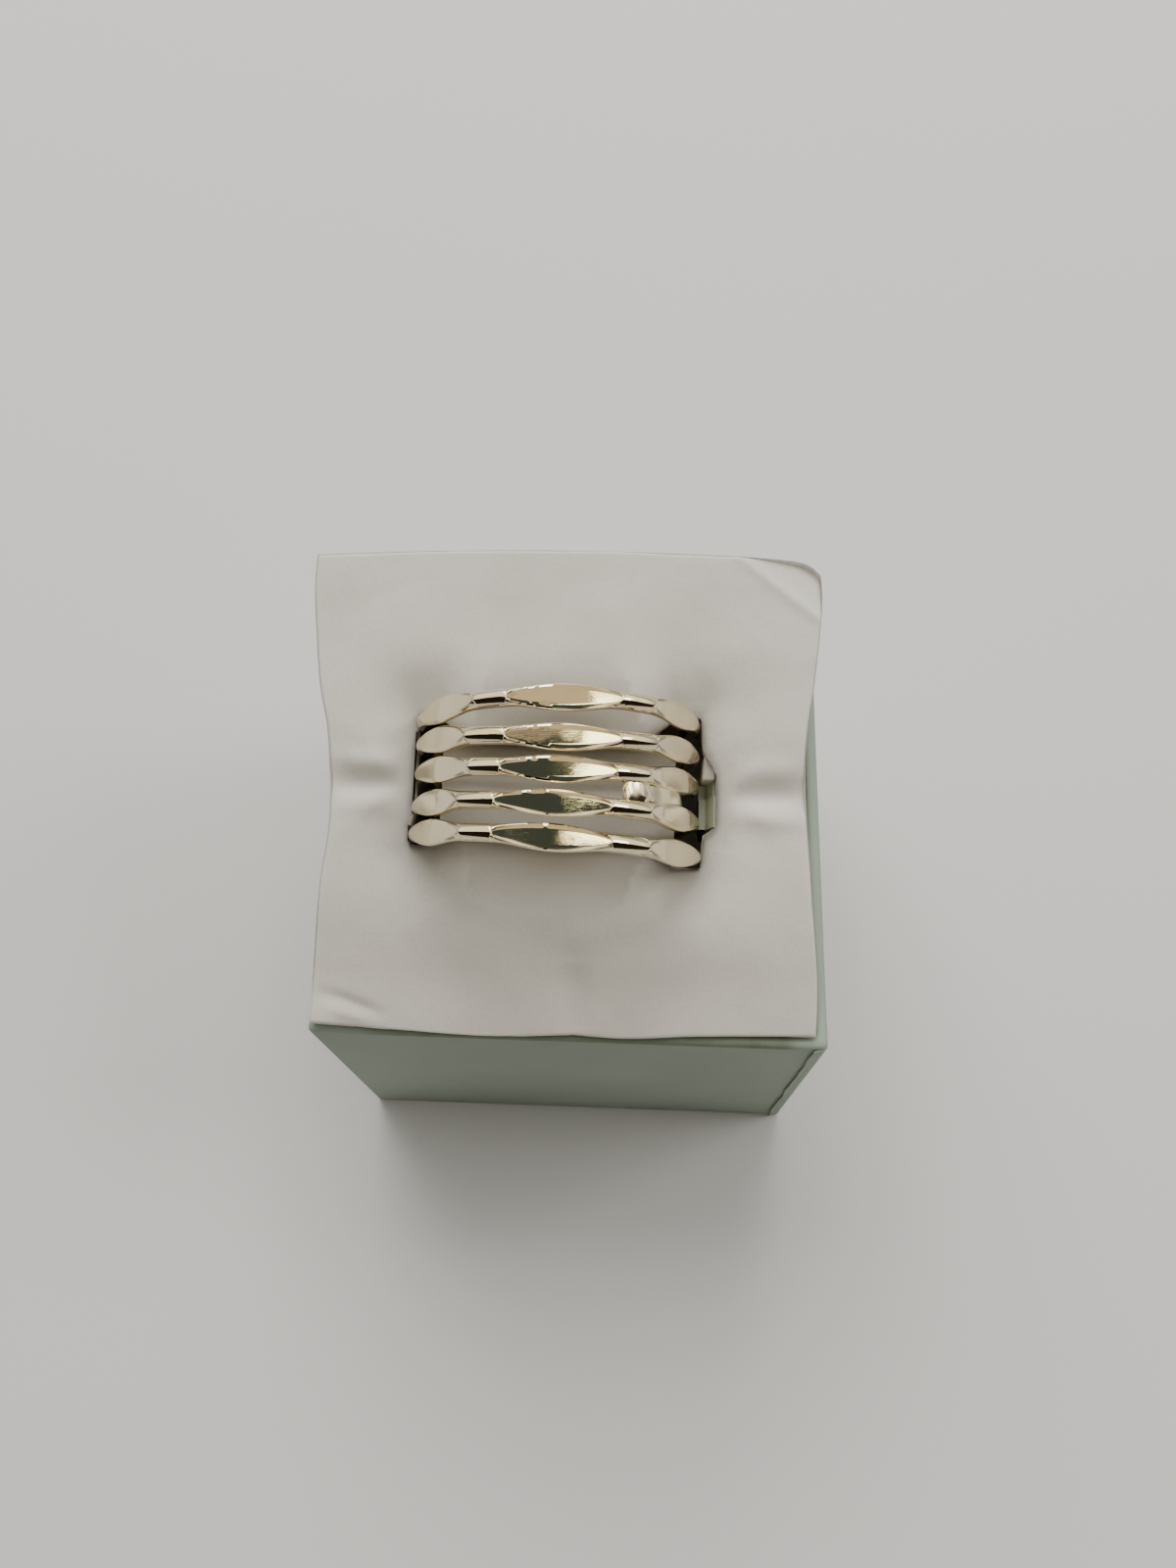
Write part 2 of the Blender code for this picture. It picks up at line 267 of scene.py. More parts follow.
@dataclass(frozen=True)
class SilverFinish:
    """Polished silver with fine scratches along the wire and a faint warm bloom."""

    bright: tuple = (0.785, 0.70, 0.50)
    bloom: tuple = (0.68, 0.595, 0.40)
    # The colour of the painted shade along the facets' edges.
    edge_shade: tuple = (0.16, 0.13, 0.10)
    smooth: float = 0.035
    dull: float = 0.13
    patch_scale: float = 420.0
    worn_scale: float = 330.0
    pit_scale: float = 3300.0
    ripple_scale: float = 700.0
    scratch_stretch: tuple = (0.5, 11.0, 1.0)
    ripple_height: float = 0.0022 * MM
    pit_height: float = 0.0020 * MM
    scratch_height: float = 0.0042 * MM
    name: str = "hammered silver"

    def material(self) -> bpy.types.Material:
        """Makes the material, which reads the wire's UV map in millimetres.

        Returns:
            The material.
        """
        shader = Shader(self.name)
        place = shader.place()
        along = shader.uv(WIRE_UV, self.scratch_stretch)
        patches = shader.grain(place, self.patch_scale, 3.0).above(0.42, 0.72)
        scratches = shader.grain(along, 1.0, 5.0, 0.75)
        worn = shader.grain(place, self.worn_scale, 1.0).above(0.48, 0.62)
        pits = shader.grain(place, self.pit_scale, 3.0, 0.6)
        roughness = self.smooth + (self.dull - self.smooth) * (
            0.5 * patches + 0.5 * worn * scratches.above(0.45, 0.75)
        )
        waves = shader.grain(place, self.ripple_scale, 2.0)
        ripples = shader.bump(waves, 1.0, self.ripple_height)
        pitted = shader.bump(pits, 1.0, self.pit_height, ripples)
        scratched = shader.bump(worn * scratches, 1.0, self.scratch_height, pitted)
        colour = shader.blend(0.6 * patches, self.bright, self.bloom)
        # The painted edge shade darkens the silver's colour along the facets' edges.
        return shader.finish(
            Base_Color=shader.blend(shader.painted(PAINTED_EDGE_SHADE), colour, self.edge_shade),
            Metallic=1.0,
            Roughness=roughness,
            Normal=scratched,
        )


@dataclass(frozen=True)
class FlockFinish:
    """Short white nap over foam, with a faint mottle where the nap lies differently."""

    light: tuple = (0.715, 0.69, 0.635)
    shaded: tuple = (0.605, 0.575, 0.525)
    # The colour of the painted shade near the slot and inside the ring.
    shade_colour: tuple = (0.21, 0.18, 0.125)
    mottle_scale: float = 170.0
    nap_scale: float = 2600.0
    fibre_scale: float = 9000.0
    nap_height: float = 0.10 * MM
    fibre_height: float = 0.03 * MM
    glow_depth: float = 1.2 * MM

    def material(self) -> bpy.types.Material:
        """Makes the material.

        Returns:
            The material, darkened where shade is painted on the vertices.
        """
        shader = Shader("white flock")
        place = shader.place()
        mottle = shader.grain(place, self.mottle_scale, 3.0).above(0.35, 0.75)
        nap = shader.grain(place, self.nap_scale, 4.0, 0.65)
        fibre = shader.grain(place, self.fibre_scale, 2.0, 0.7)
        tone = 0.35 * mottle + 0.4 * nap.above(0.45, 0.8)
        colour = shader.blend(tone, self.light, self.shaded)
        # Painted shade: the colour darkens where shade is painted on the vertices.
        colour = shader.blend(shader.painted(PAINTED_SHADE), colour, self.shade_colour)
        soft = shader.bump(nap, 0.35, self.nap_height)
        fuzz = shader.bump(fibre, 0.30, self.fibre_height, soft)
        return shader.finish(
            Base_Color=colour,
            Roughness=0.95,
            Sheen_Weight=0.25,
            Sheen_Roughness=0.6,
            Specular_IOR_Level=0.2,
            Subsurface_Weight=0.35,
            Subsurface_Radius=(1.0, 0.9, 0.8),
            Subsurface_Scale=self.glow_depth,
            Normal=fuzz,
        )


@dataclass(frozen=True)
class CardFinish:
    """Matt pale-green paper: fine fibre, faint clouding, and painted shadow on the front rim."""

    green: tuple = (0.305, 0.365, 0.30)
    pale: tuple = (0.37, 0.43, 0.36)
    # The colour of the painted shadow on the front rim.
    rim_shadow: tuple = (0.15, 0.19, 0.12)
    name: str = "pale green card"
    rim: float = 30.0 * MM
    front: float = 19.05 * MM
    # Where the painted shadow lies: just below the rim, just behind the front face, between two x
    # limits.
    shadow_below: tuple = (0.75 * MM, 0.45 * MM)
    shadow_behind: tuple = (1.5 * MM, 1.1 * MM)
    shadow_left: tuple = (-18.0 * MM, -11.0 * MM)
    shadow_right: tuple = (15.5 * MM, 17.5 * MM)
    cloud_scale: float = 90.0
    shadow_patch_scale: float = 700.0
    fibre_scale: float = 1900.0
    tooth_scale: float = 5200.0
    tooth_height: float = 0.05 * MM

    def front_rim_shadow(self, shader: Shader, place: Sock) -> Sock:
        """Where painted shadow darkens the paper, along most of the front wall's top edge."""
        x, y, z = shader.axes(place)
        patchy = 0.55 + 0.6 * shader.grain(place, self.shadow_patch_scale, 3.0, 0.6)
        top = z.above(*(self.rim - depth for depth in self.shadow_below))
        strip = top * (0.0 - y).above(*(self.front - depth for depth in self.shadow_behind))
        return patchy * strip * x.above(*self.shadow_left) * (1.0 - x.above(*self.shadow_right))

    def material(self) -> bpy.types.Material:
        """Makes the material.

        Returns:
            The material, with painted shadow along the front rim.
        """
        shader = Shader(self.name)
        place = shader.place()
        clouds = shader.grain(place, self.cloud_scale, 3.0).above(0.3, 0.8)
        fibre = shader.grain(place, self.fibre_scale, 5.0, 0.7)
        tooth = shader.grain(place, self.tooth_scale, 2.0, 0.6)
        colour = shader.blend(0.5 * clouds + 0.4 * fibre, self.green, self.pale)
        # Painted shadow: the front rim, which the insert shades, is darkened in the colour.
        return shader.finish(
            Base_Color=shader.blend(self.front_rim_shadow(shader, place), colour, self.rim_shadow),
            Roughness=0.55 + 0.25 * fibre,
            Specular_IOR_Level=0.4,
            Normal=shader.bump(fibre + 0.5 * tooth, 0.22, self.tooth_height),
        )


# Painted light: a lighter copy of the card for the slot lining, to make up for the shade it stands
# in.
LIGHTENED_CARD = CardFinish((0.50, 0.55, 0.44), (0.56, 0.60, 0.50), name="lightened green card")


@dataclass(frozen=True)
class FloorFinish:
    """A plain pale matt floor."""

    pale: tuple = (0.74, 0.73, 0.71)

    def material(self) -> bpy.types.Material:
        """Makes the material."""
        shader = Shader("pale floor")
        tone = shader.grain(shader.place(), 6.0, 2.0)
        darker = tuple(0.97 * part for part in self.pale)
        return shader.finish(Base_Color=shader.blend(tone, darker, self.pale), Roughness=0.85)


def new_piece(name: str, bm: bmesh.types.BMesh, material: bpy.types.Material) -> bpy.types.Object:
    """Turns a bmesh into a piece of the object.

    Args:
        name: The piece's name.
        bm: Its mesh, in the model's frame. It is freed.
        material: Its material.

    Returns:
        The new object, at the origin.
    """
    mesh = bpy.data.meshes.new(name)
    bm.to_mesh(mesh)
    bm.free()
    mesh.materials.append(material)
    piece = bpy.data.objects.new(name, mesh)
    bpy.context.scene.collection.objects.link(piece)
    return piece


def attach(piece: bpy.types.Object) -> bpy.types.Object:
    """Rides a piece on the part's only body."""
    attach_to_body(piece, BODY)
    return piece


def bell(distance: float, reach: float) -> float:
    """A bell that is 1 at distance 0 and fades over the reach."""
    return math.exp(-((distance / reach) ** 2))


def ease(value: float, low: float, high: float) -> float:
    """Goes smoothly from 0 at low to 1 at high."""
    share = min(max((value - low) / (high - low), 0.0), 1.0)
    return share * share * (3.0 - 2.0 * share)


def ripple(place: Vector, scale: float, seed: float) -> float:
    """Smooth noise between about -1 and 1.

    Args:
        place: Where it is read.
        scale: The size of its waves.
        seed: Another field for each number.

    Returns:
        The noise there.
    """
    return noise.noise(place / scale + Vector((seed, 3.7 * seed, -1.9 * seed)))


@dataclass(frozen=True)
class Course:
    """Where one band runs, and how its facets lie.

    The first four fields are millimetres in front of the ring's middle plane at four places round
    the ring. swell is how much larger the band's radius is, in millimetres, and turn is how many
    degrees its first facet is turned from the top. roll tilts that facet's flat towards the back,
    and pitch tilts it towards the right, in degrees.
    """

    left: float
    top: float
    right: float
    bottom: float
    turn: float
    swell: float = 0.0
    roll: float = 0.0
    pitch: float = 0.0

    def offset(self, angle: float) -> float:
        """How far in front of the middle plane the band runs at an angle from the top."""
        mean = (self.left + self.top + self.right + self.bottom) / 4
        twist = (self.top + self.bottom - self.left - self.right) / 4
        shift = mean + twist * math.cos(2 * angle)
        shift += (self.top - self.bottom) / 2 * math.cos(angle)
        shift += (self.right - self.left) / 2 * math.sin(angle)
        return shift * MM


COURSES = (
    Course(left=-4.30, top=-4.86, right=-4.74, bottom=-4.24, turn=5.5),
    Course(left=-2.50, top=-2.12, right=-2.40, bottom=-2.12, turn=5.2),
    Course(left=-0.35, top=0.09, right=-0.11, bottom=0.00, turn=3.8),
    Course(
        left=2.05, top=2.40, right=2.64, bottom=2.12, turn=3.2, swell=0.10, roll=-2.6, pitch=-0.8
    ),
    Course(left=4.10, top=4.75, right=5.15, bottom=4.24, turn=2.0, swell=0.25),
)


@dataclass
class HammeredBand:
    """One round silver wire closed into a ring, with six long flat facets hammered into it.

    half_angle is half of a facet's length round the ring, and level its height over the wire's
    middle circle. spread and squash are how much the wire widens and flattens at a facet's middle,
    edge is the width of its chamfer, and the edge_shade fields, where painted shade darkens the
    facets' edges, are shares of half_angle.
    """

    course: Course
    number: int
    place: Matrix
    wire: float = WIRE_RADIUS
    radius: float = RING_RADIUS
    facets: int = 6
    half_angle: float = math.radians(22.0)
    level: float = 0.10 * MM
    crown_radius: float = 31.0 * MM
    spread: float = 0.54
    squash: float = 0.28
    edge: float = 0.075 * MM
    edge_share: float = 0.3
    growth_until: float = 1.15
    least_flat: float = math.radians(4.0)
    sides: int = 36
    flat_sides: int = 6
    stations: int = 540
    waviness: float = 0.004 * MM
    wave_size: float = 2.6 * MM
    flat_until: float = 1.3
    sharp_until: float = 0.95
    # Where painted shade darkens the facets' edges, as shares of half_angle.
    edge_shade_start: float = 0.62
    edge_shade_full: float = 0.84
    edge_shade_until: float = 0.985
    roll_spread: float = 2.5
    pitch_spread: float = 1.5

    def middles(self) -> list[float]:
        """The angles of the facets' middles from the top."""
        first = math.radians(self.course.turn)
        return [first + 2 * math.pi * index / self.facets for index in range(self.facets)]

    def nearest(self, angle: float) -> tuple[int, float]:
        """Finds the facet that an angle is nearest to.

        Args:
            angle: The angle from the top.

        Returns:
            The facet's number and the angle from its middle.
        """
        away = [math.remainder(angle - middle, 2 * math.pi) for middle in self.middles()]
        index = min(range(self.facets), key=lambda item: abs(away[item]))
        return index, away[index]

    def section(self, angle: float) -> Callable[[float], tuple[float, float]]:
        """Works out the wire's section at an angle round the ring.

        Args:
            angle: The angle from the top.

        Returns:
            A function from the angle round the wire to the rise and the shift across.
        """
        index, away = self.nearest(angle)
        radius = self.radius + self.course.swell * MM
        share = abs(away) / self.half_angle
        strength = (1.0 - share**2) ** 2 if share < 1.0 else 0.0
        tall = self.wire * (1.0 - self.squash * strength)
        wide = self.wire * (1.0 + self.spread * strength)
        centre = tall - self.wire
        roll, pitch = self.tilts(index)
        reach = radius + self.level
        along = reach * math.sin(away)
        reach -= along**2 / (2 * self.crown_radius) + along * math.tan(pitch)
        flat = reach / math.cos(away) - radius if share < self.flat_until else radius
        lean = math.tan(roll)
        span = math.hypot(tall, lean * wide)
        tip = math.atan2(lean * wide, tall)
        cut = (flat - centre) / span
        opening = math.acos(cut) if cut < 1.0 else 0.0
        lines = self.flat_sides * 2 * math.pi / self.sides
        zone = max(opening, self.least_flat)
        low, high = -zone - tip, zone - tip
        if not opening:
            growth = ease(cut, 1.0, self.growth_until)
            zone += (lines - zone) * growth
            low, high = -zone - tip * (1.0 - growth), zone - tip * (1.0 - growth)
        edge = min(self.edge, self.edge_share * wide * math.sin(opening))
        chamfer = 2 * math.pi / self.sides

        def outline(turn: float) -> tuple[float, float]:
            """Works out one point of the section.

            Args:
                turn: The angle round the wire, from straight outwards.

            Returns:
                The rise over the wire's middle circle and the shift across.
            """
            corner = high if turn >= 0 else low
            side = 1.0 if turn >= 0 else -1.0
            if abs(turn) <= lines + 1e-6:
                bend = corner * abs(turn) / lines
                rise = centre + tall * math.cos(bend)
                across = wide * math.sin(bend)
                if opening:
                    middle = wide * (math.sin(low) + math.sin(high)) / 2
                    corner_across = wide * math.sin(corner) - side * edge
                    across = middle + (corner_across - middle) * abs(turn) / lines
                    rise = min(flat + lean * across, centre + tall * self.arc(across / wide))
                return rise, across
            start = corner + side * edge / wide
            rest = (abs(turn) - lines - chamfer) / (math.pi - lines - chamfer)
            round_turn = start + (side * math.pi - start) * max(rest, 0.0)
            return centre + tall * math.cos(round_turn), wide * math.sin(round_turn)

        return outline

    @staticmethod
    def arc(across: float) -> float:
        """The height of a unit circle at a place across it."""
        return math.sqrt(max(1.0 - across * across, 0.0))

    def tilts(self, index: int) -> tuple[float, float]:
        """The roll and pitch of a facet: the first one's are given, and the others' vary."""
        if index == 0:
            return math.radians(self.course.roll), math.radians(self.course.pitch)
        roll = self.roll_spread * math.sin(2.4 * index + 1.7 * self.number)
        pitch = self.pitch_spread * math.sin(1.1 * index + 2.9 * self.number)
        return math.radians(roll), math.radians(pitch)

    def build(self) -> bmesh.types.BMesh:
        """Spins the wire's circle into a ring and moves it to its hammered section.

        Returns:
            The band's mesh in the model's frame.
        """
        bm = bmesh.new()
        radius = self.radius + self.course.swell * MM
        bmesh.ops.create_circle(bm, cap_ends=False, radius=self.wire, segments=self.sides)
        upright = Matrix.Translation((0.0, radius, 0.0)) @ Matrix.Rotation(math.pi / 2, 4, "Y")
        bmesh.ops.transform(bm, matrix=upright, verts=bm.verts)
        bmesh.ops.spin(
            bm,
            geom=list(bm.verts) + list(bm.edges),
            cent=(0.0, 0.0, 0.0),
            axis=(0.0, 0.0, 1.0),
            dvec=(0.0, 0.0, 0.0),
            angle=2 * math.pi,
            steps=self.stations,
            use_merge=True,
            use_duplicate=False,
        )
        bmesh.ops.recalc_face_normals(bm, faces=bm.faces)
        self.unwrap(bm, radius)
        self.hammer(bm, radius)
        bmesh.ops.transform(bm, matrix=self.place, verts=bm.verts)
        return bm

    def unwrap(self, bm: bmesh.types.BMesh, radius: float) -> None:
        """Gives the round wire a UV map in millimetres, along the wire and round it."""
        layer = bm.loops.layers.uv.new(WIRE_UV)
        for face in bm.faces:
            middle = face.calc_center_median()
            angle = math.atan2(middle.x, middle.y)
            turn = math.atan2(middle.z, math.hypot(middle.x, middle.y) - radius)
            for loop in face.loops:
                co = loop.vert.co
                along = angle + math.remainder(math.atan2(co.x, co.y) - angle, 2 * math.pi)
                about = math.atan2(co.z, math.hypot(co.x, co.y) - radius)
                about = turn + math.remainder(about - turn, 2 * math.pi)
                loop[layer].uv = (along * radius / MM, about * self.wire / MM)

    def hammer(self, bm: bmesh.types.BMesh, radius: float) -> None:
        """Moves each vertex to the hammered section, marks the facets' edges as sharp, and paints
        shade along them.

        Args:
            bm: The round wire's mesh, in the ring's own frame.
            radius: The radius of the wire's middle circle.
        """
        inner = self.flat_sides
        crease = bm.verts.layers.float.new(PAINTED_EDGE_SHADE)
        sections: dict[int, Callable[[float], tuple[float, float]]] = {}
        places = {}
        for vert in bm.verts:
            angle = math.atan2(vert.co.x, vert.co.y)
            turn = math.atan2(vert.co.z, math.hypot(vert.co.x, vert.co.y) - radius)
            station = round(angle * self.stations / (2 * math.pi)) % self.stations
            line = round(turn * self.sides / (2 * math.pi))
            places[vert] = (angle, turn, station, abs(line))
            if station not in sections:
                sections[station] = self.section(angle)
        for edge in bm.edges:
            first, second = (places[vert] for vert in edge.verts)
            if first[3] != second[3] or first[2] == second[2]:
                continue
            share = abs(self.nearest(first[0])[1]) / self.half_angle
            if first[3] == inner and share < self.sharp_until:
                edge.smooth = False
        for vert, (angle, turn, station, line) in places.items():
            share = abs(self.nearest(angle)[1]) / self.half_angle
            # Painted shade: the lines at the facets' edges get a dark colour that stands in for the
            # shade there.
            if inner <= line <= inner + 1 and share < self.edge_shade_until:
                vert[crease] = ease(share, self.edge_shade_start, self.edge_shade_full)
            rise, across = sections[station](turn)
            outward = Vector((math.sin(angle), math.cos(angle), 0.0))
            rise += self.waviness * ripple(vert.co, self.wave_size, 5.0 + self.number)
            vert.co = outward * (radius + rise)
            vert.co.z = across + self.course.offset(angle)

    def dress(self, material: bpy.types.Material) -> bpy.types.Object:
        """Makes the band a piece, shaded smooth."""
        bm = self.build()
        for face in bm.faces:
            face.smooth = True
        return attach(new_piece(f"hammered_band_{self.number}", bm, material))


@dataclass(frozen=True)
class Drop:
    """One drop of solder: the band behind it, its angle, and its half sizes and sink, in mm."""

    behind: int
    angle: float
    length: float
    height: float
    sink: float


DROPS = (
    Drop(behind=2, angle=37.0, length=1.20, height=0.34, sink=0.10),
    Drop(behind=2, angle=54.0, length=2.70, height=0.30, sink=0.30),
    Drop(behind=0, angle=183.0, length=1.60, height=0.36, sink=0.12),
    Drop(behind=1, angle=186.0, length=1.60, height=0.36, sink=0.12),
    Drop(behind=2, angle=184.0, length=1.60, height=0.36, sink=0.12),
    Drop(behind=3, angle=187.0, length=1.60, height=0.36, sink=0.12),
)


@dataclass
class SolderJoints:
    """The solder that joins neighbouring bands: one joint that shows, and four under the ring."""

    place: Matrix
    wire: float = WIRE_RADIUS
    radius: float = RING_RADIUS
    bite: float = 0.42 * MM
    around: int = 40
    rings: int = 24
    lumps: float = 0.05 * MM
    lump_size: float = 0.5

    def shape(self, bm: bmesh.types.BMesh, drop: Drop) -> None:
        """Adds one drop, drawn out along the groove between two bands.

        Args:
            bm: The mesh that the drop goes in.
            drop: The drop.
        """
        angle = math.radians(drop.angle)
        back, front = COURSES[drop.behind], COURSES[drop.behind + 1]
        middle = (back.offset(angle) + front.offset(angle)) / 2
        gap = abs(front.offset(angle) - back.offset(angle))
        half_width = gap / 2 - self.wire + self.bite
        radius = self.radius + (back.swell + front.swell) / 2 * MM - drop.sink * MM
        made = bmesh.ops.create_uvsphere(
            bm, u_segments=self.around, v_segments=self.rings, radius=1.0
        )["verts"]
        size = Vector((drop.length * MM, drop.height * MM, half_width))
        for vert in made:
            lump = 1.0 + self.lumps / size.y * ripple(vert.co, self.lump_size, drop.angle)
            along = vert.co.x
            if abs(along) < 0.999:
                fuller = math.sqrt((1.0 - along**4) / (1.0 - along**2))
                vert.co.y *= fuller
                vert.co.z *= fuller
            co = Vector(part * whole for part, whole in zip(vert.co, size)) * lump
            bend = angle + co.x / radius
            reach = radius + co.y
            vert.co = Vector((reach * math.sin(bend), reach * math.cos(bend), middle + co.z))

    def dress(self, material: bpy.types.Material) -> bpy.types.Object:
        """Makes all the drops one piece."""
        bm = bmesh.new()
        for drop in DROPS:
            self.shape(bm, drop)
        for face in bm.faces:
            face.smooth = True
        bmesh.ops.transform(bm, matrix=self.place, verts=bm.verts)
        return attach(new_piece("solder_joints", bm, material))


@dataclass
class BandRing:
    """The ring: its five bands and their solder, standing square to the slope."""

    slope: Matrix
    shift_x: float = RING_SHIFT
    sink: float = RING_SINK

    def place(self) -> Matrix:
        """The matrix from the ring's own frame, with its top on +Y and its front on +Z."""
        stand = Matrix.Translation((self.shift_x, 0.0, -self.sink))
        return self.slope @ stand @ Matrix.Rotation(math.pi / 2, 4, "X")

    def dress(self, finish: SilverFinish) -> list[bpy.types.Object]:
        """Builds the ring's pieces, the first of which replaces the plain solid.

        Args:
            finish: The silver's finish.

        Returns:
            The pieces.
        """
        material = finish.material()
        bands = [
            HammeredBand(course, number, self.place()).dress(material)
            for number, course in enumerate(COURSES, start=1)
        ]
        cast = SilverFinish(smooth=0.16, dull=0.32, name="solder").material()
        solder = SolderJoints(self.place()).dress(cast)
        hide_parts("ring_bands")
        return bands + [solder]


def smooth_line(knots: Knots, at: float) -> float:
    """Reads a smooth curve through knots.

    Args:
        knots: Pairs of a place and its value, in order.
        at: The place.

    Returns:
        The value there, on a Catmull-Rom curve.
    """
    at = min(max(at, knots[0][0]), knots[-1][0])
    index = max(i for i in range(len(knots) - 1) if knots[i][0] <= at)
    (left, start), (right, end) = knots[index], knots[index + 1]
    before = knots[max(index - 1, 0)]
    after = knots[min(index + 2, len(knots) - 1)]
    span = right - left
    share = (at - left) / span
    lean_in = (end - before[1]) / max(right - before[0], 1e-9) * span
    lean_out = (after[1] - start) / max(after[0] - left, 1e-9) * span
    cube, square = share**3, share**2
    value = start * (2 * cube - 3 * square + 1) + end * (3 * square - 2 * cube)
    return value + lean_in * (cube - 2 * square + share) + lean_out * (cube - square)


@dataclass(frozen=True)
class Fold:
    """A soft fold in the insert's face, from one place on the slope to another, in millimetres."""

    start: tuple[float, float]
    end: tuple[float, float]
    reach: float
    height: float

    def lift(self, place: Vector) -> float:
        """How much the fold lifts the face at a place, in metres."""
        start, end = Vector(self.start) * MM, Vector(self.end) * MM
        run = end - start
        away = place.xy - start
        share = away.dot(run) / run.length_squared
        nearest = start + run * min(max(share, 0.0), 1.0)
        fade = math.sin(math.pi * min(max(share, 0.05), 0.95)) ** 0.5
        return self.height * MM * fade * bell((place.xy - nearest).length, self.reach * MM)


FOLDS = (
    Fold((-17.9, 1.6), (-13.0, 1.1), 0.75, 0.34),
    Fold((-18.6, -0.3), (-12.9, -0.2), 0.75, -0.55),
    Fold((-18.2, -2.1), (-13.4, -1.4), 0.85, 0.26),
    Fold((16.9, -0.2), (11.2, -0.6), 0.80, -0.55),
    Fold((16.9, -2.2), (12.6, -1.9), 0.85, 0.42),
    Fold((17.0, 1.7), (12.5, 1.3), 0.85, 0.28),
    Fold((-17.9, -16.0), (-13.8, -17.3), 0.45, -0.30),
    Fold((-17.6, -16.9), (-14.4, -17.9), 0.50, 0.16),
    Fold((-10.5, -7.5), (-2.0, -16.8), 2.60, 0.42),
    Fold((9.5, -8.5), (2.6, -16.8), 2.40, 0.40),
    Fold((0.2, -13.0), (0.6, -18.4), 1.20, -0.42),
    Fold((-14.5, 15.0), (-12.0, 7.0), 3.00, 0.25),
    Fold((9.0, 8.0), (14.0, 12.5), 2.20, 0.22),
    Fold((3.0, 9.0), (1.5, 16.0), 2.40, 0.20),
)


